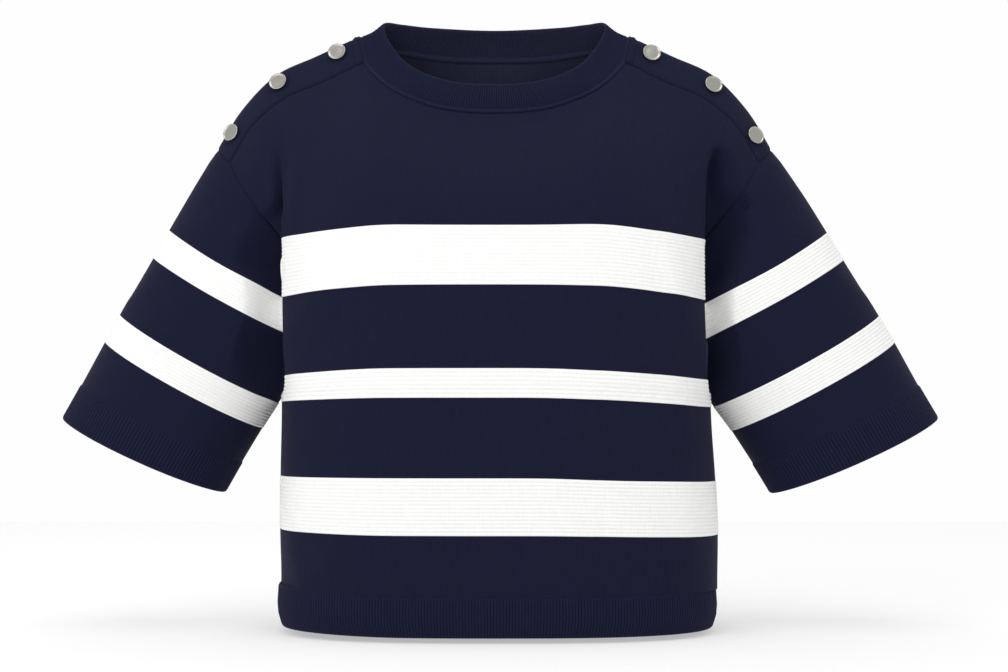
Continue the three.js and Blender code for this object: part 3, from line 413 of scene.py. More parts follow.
DIP = {"at": 0.46, "width": 0.17}
SWAY = {"by": 0.0025, "from": -0.3, "to": -0.43}
ARMHOLE = table(
    "x z front back",
    (0.209, -0.132, -0.038, 0.037), (0.1935, -0.153, -0.045, 0.046), (0.174, -0.175, -0.047, 0.051),
    (0.1665, -0.215, -0.044, 0.05), (0.166, -0.255, -0.036, 0.042), (0.1705, -0.29, -0.019, 0.023),
)
UNDERARM = np.array((0.18, 0, -0.3035))
STRIP_CORNER = 0.2
FOLD_ANGLE = math.radians(18)
FOLD_SHARE = 0.8
NECK_SHARE = 0.5
NECK = {
    FRONT: [(0, -0.05, -0.0735), (0.028, -0.049, -0.072), (0.055, -0.045, -0.066), (0.087, -0.035, -0.05)],
    BACK: [(0, 0.045, -0.0105), (0.042, 0.042, -0.01), (0.08, 0.03, -0.007)],
}
KNIT_THICKNESS = 0.002
RIB_HEIGHT = 0.0006
RIB_POINTS = 5
PLAIN_STEP = 0.0036


def curve(points, before, after):
    """A smooth curve through points, with even shares from point to point, as Catmull and Rom's cubics:
    half of 2b + (c - a)t + (2a - 5b + 4c - d)t squared + (3b - a - 3c + d)t cubed, between b and c with
    neighbours a and d."""
    every = np.array([before, *points, after], float)
    count = len(points)

    def at(share):
        place = np.clip(share, 0, 1) * (count - 1)
        i = np.clip(place.astype(int), 0, count - 2)
        t = (place - i)[..., None]
        a, b, c, d = every[i], every[i + 1], every[i + 2], every[i + 3]
        return 0.5 * (2 * b + (c - a) * t + (2 * a - 5 * b + 4 * c - d) * t ** 2
                      + (3 * b - a - 3 * c + d) * t ** 3)

    return at


def armhole_curve(face):
    """The armhole seam at +X: over the strip's end up to STRIP_CORNER, and below it a curve down to the
    underarm."""
    def seam_row(row, side):
        return (row["x"], row[FACES[side]], row["z"])

    rows = [shoulder(1, face), *(seam_row(row, face) for row in ARMHOLE), UNDERARM]
    below = curve(rows, shoulder(1, face * 0.4), seam_row(ARMHOLE[-1], -face))

    def at(share):
        share = np.asarray(share, float)
        over = shoulder(1, face * np.clip(share, 0, STRIP_CORNER) / STRIP_CORNER)
        under = below((share - STRIP_CORNER) / (1 - STRIP_CORNER))
        return np.where((share <= STRIP_CORNER)[..., None], over, under)

    return at


armhole = {face: armhole_curve(face) for face in FACES}
neck = {face: curve([*NECK[face], shoulder(0, face)], MIRROR * NECK[face][1], shoulder(0, face * 0.5))
        for face in FACES}
body = through(BODY, "z")
FINE = np.linspace(0, 1, 2001)
armhole_drop = {face: np.maximum.accumulate(-armhole[face](FINE)[:, 2]) for face in FACES}


def section(half, depth, angle, power):
    """A rounded box: the point at an angle where |x / half| ** power + |y / depth| ** power is 1."""
    x, y = np.cos(angle), np.sin(angle)
    radius = (np.abs(x / half) ** power + np.abs(y / depth) ** power) ** (-1 / power)
    return x * radius, y * radius


def body_form(face, height, share):
    """The body below the yoke, as if at +X. share is 0 at the centre and 1 at the seam (the side seam below
    the underarm, and the armhole seam above it), and negative on the right side, which hangs less low. From
    the centre to the fold a row follows the section, and from there it is drawn in to the seam. On the left
    it also sags on the way, by its dip times a bell curve."""
    height, share = np.broadcast_arrays(np.asarray(height, float), np.asarray(share, float))
    drop = body["drop"](height) + np.sign(share) * body["lean"](height)
    dip = bell(share - DIP["at"], DIP["width"], body["dip"](height))
    share = np.abs(share)
    half = body["half"](height)
    depth = body[FACES[face]](height)
    z = height - dip - drop * smooth((share - DROP_FROM) / (FOLD_SHARE - DROP_FROM))
    end_z = height - drop
    seam = armhole[face](np.interp(-end_z, armhole_drop[face], FINE))
    under = end_z <= UNDERARM[2]
    end_x = np.where(under, half, seam[..., 0])
    end_y = np.where(under, 0, np.abs(seam[..., 1]))
    end_depth = np.minimum(end_y, depth) / depth
    free_x = half * (1 - end_depth ** SECTION_POWER) ** (1 / SECTION_POWER)
    end_angle = np.arctan2(end_depth * depth, free_x)
    inner = share / FOLD_SHARE
    outer = np.clip((share - FOLD_SHARE) / (1 - FOLD_SHARE), 0, 1)
    angle = np.where(share < FOLD_SHARE, math.pi / 2 + (FOLD_ANGLE - math.pi / 2) * inner,
                     FOLD_ANGLE + (end_angle - FOLD_ANGLE) * outer)
    x, y = section(half, depth, angle, SECTION_POWER)
    return np.stack([x + smooth(outer) * (end_x - free_x), face * y, z], axis=-1)


UP_NECK = {FRONT: unit(np.array([0, 0.5, 0.87])), BACK: unit(np.array([0, -0.5, 0.75]))}
NEARER_RIDGE = 0.75
BELOW_YOKE = YOKE_LINE - 0.006
SEAM_BESIDE = (0.42, 0.35)


def yoke_column(face, share, rise):
    """A cubic from the body's upper line to the neck seam or the strip: Hermite's curve between two points,
    with the cloth's own direction at each. Beside the armhole it starts in the way of the seam there."""
    start = body_form(face, YOKE_LINE, share)
    below = body_form(face, BELOW_YOKE, share)
    share = np.abs(share)
    along = np.clip((share - NECK_SHARE) / (1 - NECK_SHARE), 0, 1)
    end = np.where((share <= NECK_SHARE)[..., None], neck[face](share / NECK_SHARE), shoulder(along, face))
    reach = np.linalg.norm(end - start, axis=-1, keepdims=True)
    low, high = armhole[face](np.array(SEAM_BESIDE))
    beside = smooth((share - FOLD_SHARE) / (1 - FOLD_SHARE))[..., None]
    start_way = unit(unit(start - below) * (1 - beside) + unit(high - low) * beside) * reach
    over_ridge = unit(shoulder(along, face * NEARER_RIDGE) - shoulder(along, face))
    near = smooth(share / NECK_SHARE)[..., None]
    end_way = unit(UP_NECK[face] * (1 - near) + over_ridge * near) * reach
    t = rise[..., None]
    return (start * (2 * t ** 3 - 3 * t ** 2 + 1) + start_way * (t ** 3 - 2 * t ** 2 + t)
            + end * (3 * t ** 2 - 2 * t ** 3) + end_way * (t ** 3 - t ** 2))


def yoke_form(face, share, rise):
    """The yoke as if at +X: its columns, with the outer ones drawn onto the armhole seam."""
    share, rise = np.broadcast_arrays(np.asarray(share, float), np.asarray(rise, float))
    side = np.where(share < 0, -1.0, 1.0)
    seam_low = np.interp(-body_form(face, YOKE_LINE, side)[..., 2], armhole_drop[face], FINE)
    seam = armhole[face](seam_low + (STRIP_CORNER - seam_low) * rise)
    miss = seam - yoke_column(face, side, rise)
    drawn = smooth((np.abs(share) - FOLD_SHARE) / (1 - FOLD_SHARE))[..., None]
    return yoke_column(face, share, rise) + miss * drawn


def placed(points, side):
    """Points put on their side of the garment, with the hem swung a little to one side."""
    share = smooth((SWAY["from"] - points[..., 2]) / (SWAY["from"] - SWAY["to"]))
    return np.stack([points[..., 0] * side + SWAY["by"] * share, points[..., 1], points[..., 2]], axis=-1)


EDGE_HAIR = 0.00008


def levels(low, high, stripes):
    """Row heights from low to high, with how pale the yarn is and how high the rib stands on each. A rib is
    the square root of a half wave, so it is round with a sharp groove on either side. The colour changes
    within EDGE_HAIR on either side of a stripe's edge."""
    rows = []
    inner_edges = {stripe[end] for stripe in stripes for end in STRIPE_ENDS if low < stripe[end] < high}
    edges = [low, *sorted(inner_edges), high]
    for start, end in zip(edges[:-1], edges[1:]):
        stripe = next((s for s in stripes if s["lower"] <= start + 1e-6 and end <= s["upper"] + 1e-6), None)
        steps = stripe["ribs"] * RIB_POINTS if stripe else max(2, round((end - start) / PLAIN_STEP))
        share = np.linspace(0, 1, steps + 1)
        hair = EDGE_HAIR / (end - start)
        share[0], share[-1] = hair, 1 - hair
        rib = np.sqrt(np.abs(np.sin(share * math.pi * stripe["ribs"]))) if stripe else np.zeros(len(share))
        pale = np.full(len(share), float(bool(stripe)))
        rows.append(np.stack([start + (end - start) * share, pale, rib], axis=1))
    return np.concatenate(rows)


CREASE_NAMES = "from to width height"
CREASES = {
    FRONT: table(
        CREASE_NAMES,
        ((-0.163, -0.115), (-0.1655, -0.178), 0.008, 0.0026),
        ((-0.126, -0.205), (-0.176, -0.29), 0.016, 0.0026),
        ((-0.14, -0.235), (-0.172, -0.29), 0.007, -0.0012), ((0.135, -0.18), (0.155, -0.26), 0.012, 0.0016),
        ((0.124, -0.17), (0.138, -0.245), 0.009, -0.0012), ((0.14, -0.28), (0.158, -0.35), 0.013, 0.0016),
        ((0.15, -0.355), (0.166, -0.46), 0.012, 0.0015), ((0.075, -0.36), (0.09, -0.45), 0.014, -0.001),
        ((-0.15, -0.425), (-0.168, -0.458), 0.014, -0.002), ((-0.17, -0.415), (-0.155, -0.462), 0.008, 0.001),
        ((-0.06, -0.33), (-0.12, -0.44), 0.03, 0.0012), ((0.06, -0.24), (0.1, -0.35), 0.03, 0.001),
    ),
    BACK: table(
        CREASE_NAMES,
        ((-0.12, -0.2), (-0.172, -0.3), 0.018, 0.002), ((0.125, -0.21), (0.17, -0.3), 0.017, 0.0018),
        ((0.04, -0.3), (0.1, -0.43), 0.03, 0.0014), ((-0.05, -0.32), (-0.11, -0.44), 0.03, 0.0013),
    ),
}
CREASE_END = 0.35


def crease_height(x, z, creases):
    """Soft ridges and troughs: for each crease, its height times the bell curve of the distance from its
    line over its width, fading to its ends as a half wave."""
    height = np.zeros(x.shape)
    for crease in creases:
        start, end = np.array(crease["from"]), np.array(crease["to"])
        way = end - start
        share = ((x - start[0]) * way[0] + (z - start[1]) * way[1]) / (way @ way)
        near = np.clip(share, 0, 1)
        distance = np.hypot(x - start[0] - way[0] * near, z - start[1] - way[1] * near)
        fade = CREASE_END + (1 - CREASE_END) * np.sin(math.pi * near)
        height += crease["height"] * fade * np.exp(-((distance / crease["width"]) ** 2))
    return height


# The fold beside each armhole, by height. From x it drops straight back by its depth, and it comes forward
# again within its width. hold says how long it stays deep, and seam how far the cloth round the armhole
# seam lies further out.
FOLD_NAMES = "z seam x width depth hold"
FOLDS = {
    "left": table(
        FOLD_NAMES,
        (-0.098, 0, 0.182, 0.01, 0, 0.8), (-0.106, 0, 0.1775, 0.024, 0.012, 0.8),
        (-0.117, 0, 0.1745, 0.03, 0.018, 1), (-0.136, 0, 0.173, 0.034, 0.022, 1.2),
        (-0.15, 0.001, 0.1725, 0.039, 0.023, 1.6), (-0.17, 0.002, 0.1722, 0.041, 0.025, 2.2),
        (-0.19, 0.0018, 0.1722, 0.035, 0.029, 2.2), (-0.206, 0.0006, 0.1725, 0.031, 0.028, 2),
        (-0.222, 0, 0.1728, 0.026, 0.021, 1.5), (-0.245, 0, 0.1728, 0.026, 0.019, 1.4),
        (-0.265, 0.001, 0.1728, 0.03, 0.021, 1.7), (-0.29, 0.002, 0.1735, 0.03, 0.018, 1.7),
        (-0.312, 0.002, 0.177, 0.02, 0, 1.2),
    ),
    "right": table(
        FOLD_NAMES,
        (-0.1, 0, 0.1775, 0.008, 0, 0.8), (-0.112, 0, 0.1745, 0.009, 0.004, 0.8),
        (-0.126, 0, 0.1722, 0.012, 0.008, 0.8), (-0.138, 0, 0.1712, 0.013, 0.01, 0.8),
        (-0.15, 0.001, 0.1708, 0.016, 0.012, 0.9), (-0.162, 0.0025, 0.172, 0.03, 0.01, 1),
        (-0.176, 0.0033, 0.1725, 0.042, 0.013, 1.3), (-0.194, 0.0033, 0.1725, 0.044, 0.018, 1.7),
        (-0.21, 0.002, 0.1725, 0.036, 0.016, 1.6), (-0.24, 0, 0.1728, 0.034, 0.014, 1.5),
        (-0.265, -0.0025, 0.1728, 0.042, 0.017, 1.8), (-0.29, -0.0037, 0.1735, 0.041, 0.015, 1.8),
        (-0.312, -0.002, 0.177, 0.02, 0, 1.2),
    ),
}
FOLD_STEP = 0.0032
SEAM_PULL = {"x": 0.178, "width": 0.02}
FOLD_KEPT_TO = {"from": -0.006, "to": -0.03}


def folded(points, side):
    """Points at +X of one side's front, moved straight back into the fold beside the armhole. The step back
    is a smooth rise over FOLD_STEP, and the way forward again is 1 less the smooth rise of the share of the
    width to the power hold. Before it, the seam moves outwards with the cloth on both sides of it, less and
    less over SEAM_PULL's width. Points behind the middle of the sleeve stay where they are."""
    fold = {name: at(points[..., 2]) for name, at in through(FOLDS[side], "z").items()}
    near_seam = smooth(1 - np.abs(points[..., 0] - SEAM_PULL["x"]) / SEAM_PULL["width"])
    kept = smooth((FOLD_KEPT_TO["from"] - points[..., 1]) / (FOLD_KEPT_TO["from"] - FOLD_KEPT_TO["to"]))
    outwards = fold["seam"] * near_seam * kept
    past = np.maximum(points[..., 0] + outwards - fold["x"], 0)
    forward = smooth(np.clip(past / fold["width"], 0, 1) ** fold["hold"])
    back = fold["depth"] * smooth(past / FOLD_STEP) * (1 - forward) * kept
    return points + np.stack([outwards, back, np.zeros(back.shape)], axis=-1)


STRIPE_RISE = 0.0205
STRIPE_HAIR = 0.0006
EDGE_ROLL = {"width": 0.0014, "depth": 0.0006}
TUCK_DEPTH = 0.0005
RIB_FADE = 0.004


def panel_walls(points, out, run, up, tone):
    """What a panel is made from: its outer and inner points, the cloth's own coordinates, how pale it is, and
    how much painted shade it has: on white stripes the grooves between ribs are shaded, and the navy has
    none. tone has the paleness and the rib of each row, and run counts from the panel's middle. The
    outside stands off the form by its ribs, which fade out at a seam, less a rounding of its edge there,
    and less again where it is tucked under the next piece."""
    pale, rib = (tone[:, k, None] * np.ones(points.shape[1]) for k in (0, 1))
    edge = np.minimum(run[:, -1:] - np.abs(run), up[-1:] - up) - TUCK
    lift = (rib * RIB_HEIGHT * smooth(edge / RIB_FADE)
            - bell(np.maximum(edge, 0), EDGE_ROLL["width"], EDGE_ROLL["depth"])
            - TUCK_DEPTH * (edge < -TUCK / 2))
    # Painted shade in the grooves between the white stripes' ribs; the navy has none.
    open_air = np.where(pale > 0.5, rib, 1)
    return points + out * lift[..., None], points - out * KNIT_THICKNESS, run, up, pale, open_air


def body_panel(name, face):
    """The front or the back: body rows from the hem seam to the yoke line, then yoke rows up to the neck
    and strips."""
    half_share = np.concatenate([np.linspace(0, 0.68, 42), np.linspace(0.69, 0.9, 29),
                                 np.linspace(0.915, 0.975, 6), [0.985, 0.992, 0.9965, 1]])
    share = np.concatenate([-half_share[:0:-1], half_share])
    side = np.where(share < 0, -1.0, 1.0)
    rows = levels(HEM_SEAM, YOKE_LINE, BODY_STRIPES)
    low = body_form(face, rows[:, :1], share[None])
    rise = np.concatenate([np.linspace(0, STRIPE_RISE, 6)[1:], [STRIPE_RISE + STRIPE_HAIR],
                           np.linspace(0, 0.965, 46)[2:], [0.98, 0.99, 1]])
    high = yoke_form(face, share[None], rise[:, None])
    points = np.concatenate([low, high])
    if face == FRONT:
        points = np.where((share < 0)[:, None], folded(points, "right"), folded(points, "left"))
    points = placed(points, side)
    if face == BACK:
        points = points[:, ::-1]
    points = tucked(points)
    last_rib = np.sqrt(np.sin(math.pi * np.clip(rise / STRIPE_RISE, 0, 1)))
    top_tone = np.stack([rise <= STRIPE_RISE, last_rib], axis=1) * (rise <= STRIPE_RISE)[:, None]
    tone = np.concatenate([[[0, 0]], rows[:, 1:], top_tone, [[0, 0]]])
    out = normals(points)
    points = points + out * crease_height(points[..., 0], points[..., 2], CREASES[face])[..., None]
    run, up = lengths(points)
    return cloth_panel(name, *panel_walls(points, out, run - run[:, -1:] / 2, up, tone))


for name, face, area in (("front", FRONT, 0.197), ("back", BACK, 0.21)):
    panel = body_panel(f"{name}_panel", face)
    panel.data.materials.append(plain_knit)
    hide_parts(name)
    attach(panel, "root")


# The sleeves. Each is knitted flat with two white stripes and sewn into the armhole, with a seam under the
# arm. Facing the garment from the front, its right sleeve is at -X.
SLEEVES = table(
    "name sign swing length width skew bow trim",
    ("right", -1, 29.7, 0.262, 0.1505, 0, 0.0016, 0.0024),
    ("left", 1, 31.4, 0.267, 0.154, 2, 0.0036, 0.003),
)
CUFF_SEAM = 0.033
SLEEVE = table(
    "up tilt depth sag bow trim",
    (0, 4.7, 0.053, 0.0026, 0.45, 1), (CUFF_SEAM, 3.6, 0.054, 0.0028, 0.55, 1),
    (0.074, 0.6, 0.0545, 0.0026, 1, 0.7), (0.1, 0.3, 0.0545, 0.003, 0.95, 0.4),
    (0.1555, 0, 0.053, 0.0032, 0.85, 0), (0.1825, -0.5, 0.051, 0.004, 0.95, 0),
    (0.225, -1, 0.046, 0.002, 0.8, 0), (0.262, -1, 0.04, 0, 0.3, 0),
)
SLEEVE_POWER = 2.15
CAP_TOP = 0.013
CAP_SHARES = np.array([0.25, 0.5, 0.75, 0.9, 1])
DRAWN_WITHIN = {"below": 0.04, "beside": 0.3}
SLEEVE_STRIPES = table("lower upper ribs", (0.074, 0.1, 9), (0.1555, 0.1825, 9))
SLEEVE_CREASES = table(
    CREASE_NAMES,
    ((0.02, 0.24), (0.05, 0.15), 0.012, 0.0014), ((-0.045, 0.2), (-0.01, 0.09), 0.014, 0.0012),
    ((0.09, 0.13), (0.07, 0.06), 0.013, -0.001),
)
sleeve_at = through(SLEEVE, "up")


def sleeve_axes(sleeve):
    """The sleeve's own axes at +X: the strip's end, the way down along its outer edge, and the way inward
    across it."""
    swing = math.radians(sleeve["swing"])
    down = np.array([math.sin(swing), 0, -math.cos(swing)])
    inward = np.array([-math.cos(swing), 0, -math.sin(swing)])
    return shoulder(1, 0), down, inward


def sleeve_slope(sleeve, up):
    """How far a section falls for each metre across the sleeve: the tangent of its tilt."""
    return np.tan(np.radians(sleeve_at["tilt"](up) + sleeve["skew"]))


def sleeve_middle(sleeve, up):
    """Half the width of a section, and how far inward its middle lies. The outer edge bulges and the inner
    is trimmed."""
    bow = sleeve["bow"] * sleeve_at["bow"](up)
    half = (sleeve["width"] + bow - sleeve["trim"] * sleeve_at["trim"](up)) / 2
    return half, half - bow


def sleeve_form(sleeve, up, angle):
    """A point of the sleeve's section. up is the distance from the cuff's edge along the outer edge, and
    angle runs from that edge towards the front. Each section is a near ellipse, tilted across the sleeve,
    that hangs lower by its sag times the square of the share of its depth."""
    tip, down, inward = sleeve_axes(sleeve)
    half, middle = sleeve_middle(sleeve, up)
    across, depth = section(half, sleeve_at["depth"](up), angle, SLEEVE_POWER)
    inset = middle - across
    sag = sleeve_at["sag"](up) * (depth / sleeve_at["depth"](up)) ** 2
    fall = sleeve["length"] - up - inset * sleeve_slope(sleeve, up) + sag
    return tip + down * fall[..., None] + inward * inset[..., None] - np.array([0, 1, 0]) * depth[..., None]


def sleeve_up(sleeve, points):
    """How far up the sleeve points lie, measured at the outer edge along their own section, by trying again
    from the last answer."""
    tip, down, inward = sleeve_axes(sleeve)
    offset = points - tip
    straight = sleeve["length"] - offset @ down
    up = straight
    for _ in range(6):
        up = straight - (offset @ inward) * sleeve_slope(sleeve, up)
    return up


def sleeve_grid(sleeve, up, share):
    """Rows of the sleeve at +X. Below the underarm each goes all round, and above it from the front armhole
    seam over the outer edge to the back seam. Both ends are drawn onto the seams, and rings just below onto
    the underarm."""
    tip, _, inward = sleeve_axes(sleeve)
    _, middle = sleeve_middle(sleeve, up)
    underarm = float(sleeve_up(sleeve, UNDERARM))
    is_open = up > underarm
    drawn = smooth(1 - (underarm - up) / DRAWN_WITHIN["below"])
    level = np.where(is_open, up, underarm)
    ends, angles = [], []
    for face, turn in ((FRONT, math.pi), (BACK, -math.pi)):
        seam = armhole[face](FINE)
        seam_up = np.minimum.accumulate(sleeve_up(sleeve, seam))
        at = armhole[face](np.interp(-up, -seam_up, FINE))
        end = np.where(is_open[:, None], at, UNDERARM)
        ends.append(end)
        angles.append(np.where(is_open, np.arctan2(-end[:, 1], middle - (end - tip) @ inward), turn))
    angle = angles[0][:, None] + (angles[1] - angles[0])[:, None] * share
    points = sleeve_form(sleeve, up[:, None], angle)
    for k, (end, own_angle) in enumerate(zip(ends, angles)):
        miss = (end - sleeve_form(sleeve, level, own_angle)) * drawn[:, None]
        near = smooth(1 - np.abs(share - k) / DRAWN_WITHIN["beside"])
        points = points + miss[:, None] * near[None, :, None]
    return points


def sleeve_cap(sleeve, share):
    """The sleeve's top row: the armhole over the strip's end, down to where the rows below leave it."""
    leaves = CAP_TOP / 2 - sleeve["length"]
    seams = (np.minimum.accumulate(sleeve_up(sleeve, armhole[face](FINE))) for face in FACES)
    ends = [np.interp(leaves, -seam_up, FINE) for seam_up in seams]
    front = armhole[FRONT](ends[0] * np.clip(1 - 2 * share, 0, 1))
    back = armhole[BACK](ends[1] * np.clip(2 * share - 1, 0, 1))
    return np.where((share < 0.5)[:, None], front, back)


def sleeve_mesh(sleeve):
    """A sleeve as a panel whose side edges meet under the arm."""
    share = np.concatenate([[0, 0.004, 0.01], np.linspace(0.016, 0.25, 60), np.linspace(0.26, 0.98, 72),
                            [0.99, 0.996, 1]])
    rows = levels(CUFF_SEAM, sleeve["length"] - CAP_TOP, SLEEVE_STRIPES)
    points = sleeve_grid(sleeve, rows[:, 0], share)
    to_cap = (sleeve_cap(sleeve, share) - points[-1]) * CAP_SHARES[:, None, None]
    points = tucked(folded(np.concatenate([points, points[-1] + to_cap]), sleeve["name"]))
    tone = np.concatenate([[[0, 0]], rows[:, 1:], np.zeros((len(CAP_SHARES) + 1, 2))])
    out = normals(points)
    run, up = lengths(points)
    run = run - run[:, -1:] / 2
    points = points + out * crease_height(run, up + CUFF_SEAM, SLEEVE_CREASES)[..., None]
    outer, inner, run, up, pale, open_air = panel_walls(points, out, run, up, tone)
    if sleeve["sign"] < 0:
        outer, inner = mirrored(outer), mirrored(inner)
        run, up = -run[:, ::-1], up[:, ::-1]
    return cloth_panel(f"sleeve_{sleeve['name']}_panel", outer, inner, run, up, pale, open_air)


for sleeve in SLEEVES:
    made = sleeve_mesh(sleeve)
    made.data.materials.append(plain_knit)
    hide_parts(f"sleeve_{sleeve['name']}")
    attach(made, "root")


# The ribbed bands at the hem and the cuffs, knitted with vertical ribs and linked on, so each stands a
# little proud of the plain knit above it.
BAND_THICKNESS = 0.0022
BAND_PROUD = 0.0002
BAND_RIB = 0.00055
BAND_WIDTH = 0.03
RIB_COLUMNS = 4
# The inside of a band is painted lighter from one share of the profile's depth to another: a little paleness,
# and a share of the wrong side's painted light.
BAND_INSIDE = {"pale": 0.005, "wrong_side": 0.15, "from": 0.5, "to": 5 / 6}
HEM_RIBS = 400
CUFF_RIBS = 140


def rib_wave(count, columns):
    """The height of vertical ribs, from 0 in a groove to 1: the square root of a half wave for each rib."""
    place = np.arange(count * columns) / columns
    return np.sqrt(np.abs(np.sin(math.pi * place)))


def even_loop(points, count):
    """Points spread evenly by length round a closed loop."""
    closed = np.concatenate([points, points[:1]])
    length = np.concatenate([[0], np.cumsum(np.linalg.norm(np.diff(closed, axis=0), axis=1))])
    wanted = np.arange(count) / count * length[-1]
    return np.stack([np.interp(wanted, length, closed[:, k]) for k in range(3)], axis=1), length[-1]


def band_mesh(name, rings, ribs, profile, girth):
    """A ribbed band: a closed profile carried round its loop. rings are the loops of points up the band, in
    even steps. Each profile row says how far up the band it is, how far out of the middle surface, and how
    much the ribs show. Shade is painted in the grooves between ribs. The wrong side begins at a share of the
    profile's depth, and from there the band is painted lighter, for the light that reaches inside."""
    rings = np.stack(rings)
    columns = rings.shape[1]
    out = normals(rings, closed_rows=True)
    place, proud, rib = profile.T
    place = place * (len(rings) - 1)
    i = np.clip(place.astype(int), 0, len(rings) - 2)
    t = (place - i)[:, None, None]
    middle = rings[i] * (1 - t) + rings[i + 1] * t
    away = unit(out[i] * (1 - t) + out[i + 1] * t)
    wave = rib_wave(ribs, columns // ribs)
    points = middle + away * (proud[:, None] + rib[:, None] * wave)[..., None]
    faces, corner_rows, corner_columns = grid_faces(len(points) + 1, columns, closed_rows=True)
    faces = faces % (len(points) * columns)
    up = np.cumsum(np.concatenate([[0], np.abs(np.diff(profile[:, 0])), [0]])) * BAND_WIDTH
    uv = np.stack([corner_columns * girth / columns, up[corner_rows]], axis=-1)
    # Painted shade in the grooves between ribs.
    ribbed = np.abs(rib) / np.abs(rib).max()
    # Painted light on the band's inside.
    depth_share = (proud.max() - proud) / np.ptp(proud)
    inside = smooth((depth_share - BAND_INSIDE["from"]) / (BAND_INSIDE["to"] - BAND_INSIDE["from"]))
    inside = np.repeat(inside, columns)
    return add_mesh(name, points.reshape(-1, 3), faces, uv, pale=inside * BAND_INSIDE["pale"],
                    open_air=1 - ribbed[:, None] * (1 - wave), wrong_side=inside * BAND_INSIDE["wrong_side"])


# The section of a band, from its lower edge up the outside, over, and down the inside. Both edges are
# rounded.
BAND_INNER = BAND_PROUD - BAND_THICKNESS
BAND_PROFILE = np.array([
    (0, BAND_PROUD - BAND_THICKNESS / 2, 0), (0.004, BAND_PROUD - 0.0005, BAND_RIB * 0.3),
    (0.03, BAND_PROUD - 0.0001, BAND_RIB * 0.7),
    *((up, BAND_PROUD, BAND_RIB) for up in (0.08, 0.3, 0.55, 0.8, 0.93)),
    (0.975, BAND_PROUD - 0.0002, BAND_RIB * 0.6), (1, BAND_PROUD - 0.0008, BAND_RIB * 0.1),
    (1, BAND_INNER + 0.0003, 0), *((up, BAND_INNER, 0) for up in (0.95, 0.65, 0.35, 0.05)),
    (0.01, BAND_INNER + 0.0003, 0),
])


# Its brightness of 1.3 is painted light, which makes up for its deeper painted shade in the rib grooves.
rib_knit = knit_material("rib_knit", 0.00012, 0.62, width=0.0013, height=0.0011, brightness=1.3)


def hem_rings(steps):
    """Loops round the hem band from its lower edge to its seam, each spread evenly and starting at the
    front centre."""
    share = np.linspace(0, 1, 400)
    rings = []
    for step in np.linspace(0, 1, steps):
        height = HEM_EDGE + (HEM_SEAM - HEM_EDGE) * step
        quarter = {(face, side): placed(body_form(face, np.full(400, height), share * side), side)
                   for face in FACES for side in (-1, 1)}
        loop = np.concatenate([quarter[FRONT, 1][:-1], quarter[BACK, 1][:0:-1],
                               quarter[BACK, -1][:-1], quarter[FRONT, -1][:0:-1]])
        ring, girth = even_loop(loop, HEM_RIBS * RIB_COLUMNS)
        rings.append(ring)
    return rings, girth


hem_loops, hem_girth = hem_rings(13)
hem = band_mesh("hem_rib", hem_loops, HEM_RIBS, BAND_PROFILE, hem_girth)
hem.data.materials.append(rib_knit)
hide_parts("hem_band")
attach(hem, "root")


def cuff_rings(sleeve, steps):
    """Loops round a cuff from its edge to its seam, starting under the arm."""
    angle = np.linspace(math.pi, -math.pi, 400, endpoint=False)
    rings = []
    for step in np.linspace(0, 1, steps):
        up = np.full(len(angle), CUFF_SEAM * step)
        ring, girth = even_loop(sleeve_form(sleeve, up, angle), CUFF_RIBS * RIB_COLUMNS)
        rings.append(ring if sleeve["sign"] > 0 else (ring * MIRROR)[::-1])
    return rings, girth


for sleeve in SLEEVES:
    loops, girth = cuff_rings(sleeve, 7)
    made = band_mesh(f"cuff_{sleeve['name']}_rib", loops, CUFF_RIBS, BAND_PROFILE, girth)
    made.data.materials.append(rib_knit)
    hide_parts(f"cuff_{sleeve['name']}")
    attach(made, "root")


# The collar. It is a wide crew collar in vertical rib, double so that it is ribbed inside and out, with a
# plain welt at its foot where it is linked to the neck.
COLLAR_TOP = [
    (0, -0.044, -0.048), (0.039, -0.041, -0.044), (0.0715, -0.03, -0.0285), (0.09, -0.012, -0.0035),
    (0.0935, 0.002, 0.0133), (0.08, 0.02, 0.0164), (0.055, 0.03, 0.0162), (0, 0.038, 0.0156),
]
COLLAR_RIBS = 270
COLLAR_BOW = {"out": 0.0016, "in": 0.002, "from": 0.068, "to": 0.112}


def both_halves(right):
    """A closed loop from its half at +X, which starts and ends on the middle of the garment."""
    return np.concatenate([right, (right[1:-1] * MIRROR)[::-1]])


def collar_rings(steps):
    """Loops up the collar from the neck seam to its upper edge. Points at equal shares of both loops'
    lengths are joined, and between them the collar bows as a parabola: out at the front and back, and in
    beside the ridges."""
    share = np.linspace(0, 1, 300)
    foot = both_halves(np.concatenate([
        neck[FRONT](share)[:-1], shoulder(0, np.linspace(-1, 1, 120)), neck[BACK](share[::-1])[1:]]))
    top_half = curve(COLLAR_TOP, MIRROR * COLLAR_TOP[1], MIRROR * COLLAR_TOP[-2])
    top = both_halves(top_half(np.linspace(0, 1, 600)))
    foot, girth = even_loop(foot, COLLAR_RIBS * RIB_COLUMNS)
    top, _ = even_loop(top, COLLAR_RIBS * RIB_COLUMNS)
    out = normals(np.stack([foot, top]), closed_rows=True)[0]
    beside = smooth((np.abs(foot[:, :1]) - COLLAR_BOW["from"]) / (COLLAR_BOW["to"] - COLLAR_BOW["from"]))
    bow = out * (COLLAR_BOW["out"] - (COLLAR_BOW["out"] + COLLAR_BOW["in"]) * beside)
    shares = np.linspace(0, 1, steps)
    return [foot + (top - foot) * step + bow * 4 * step * (1 - step) for step in shares], girth


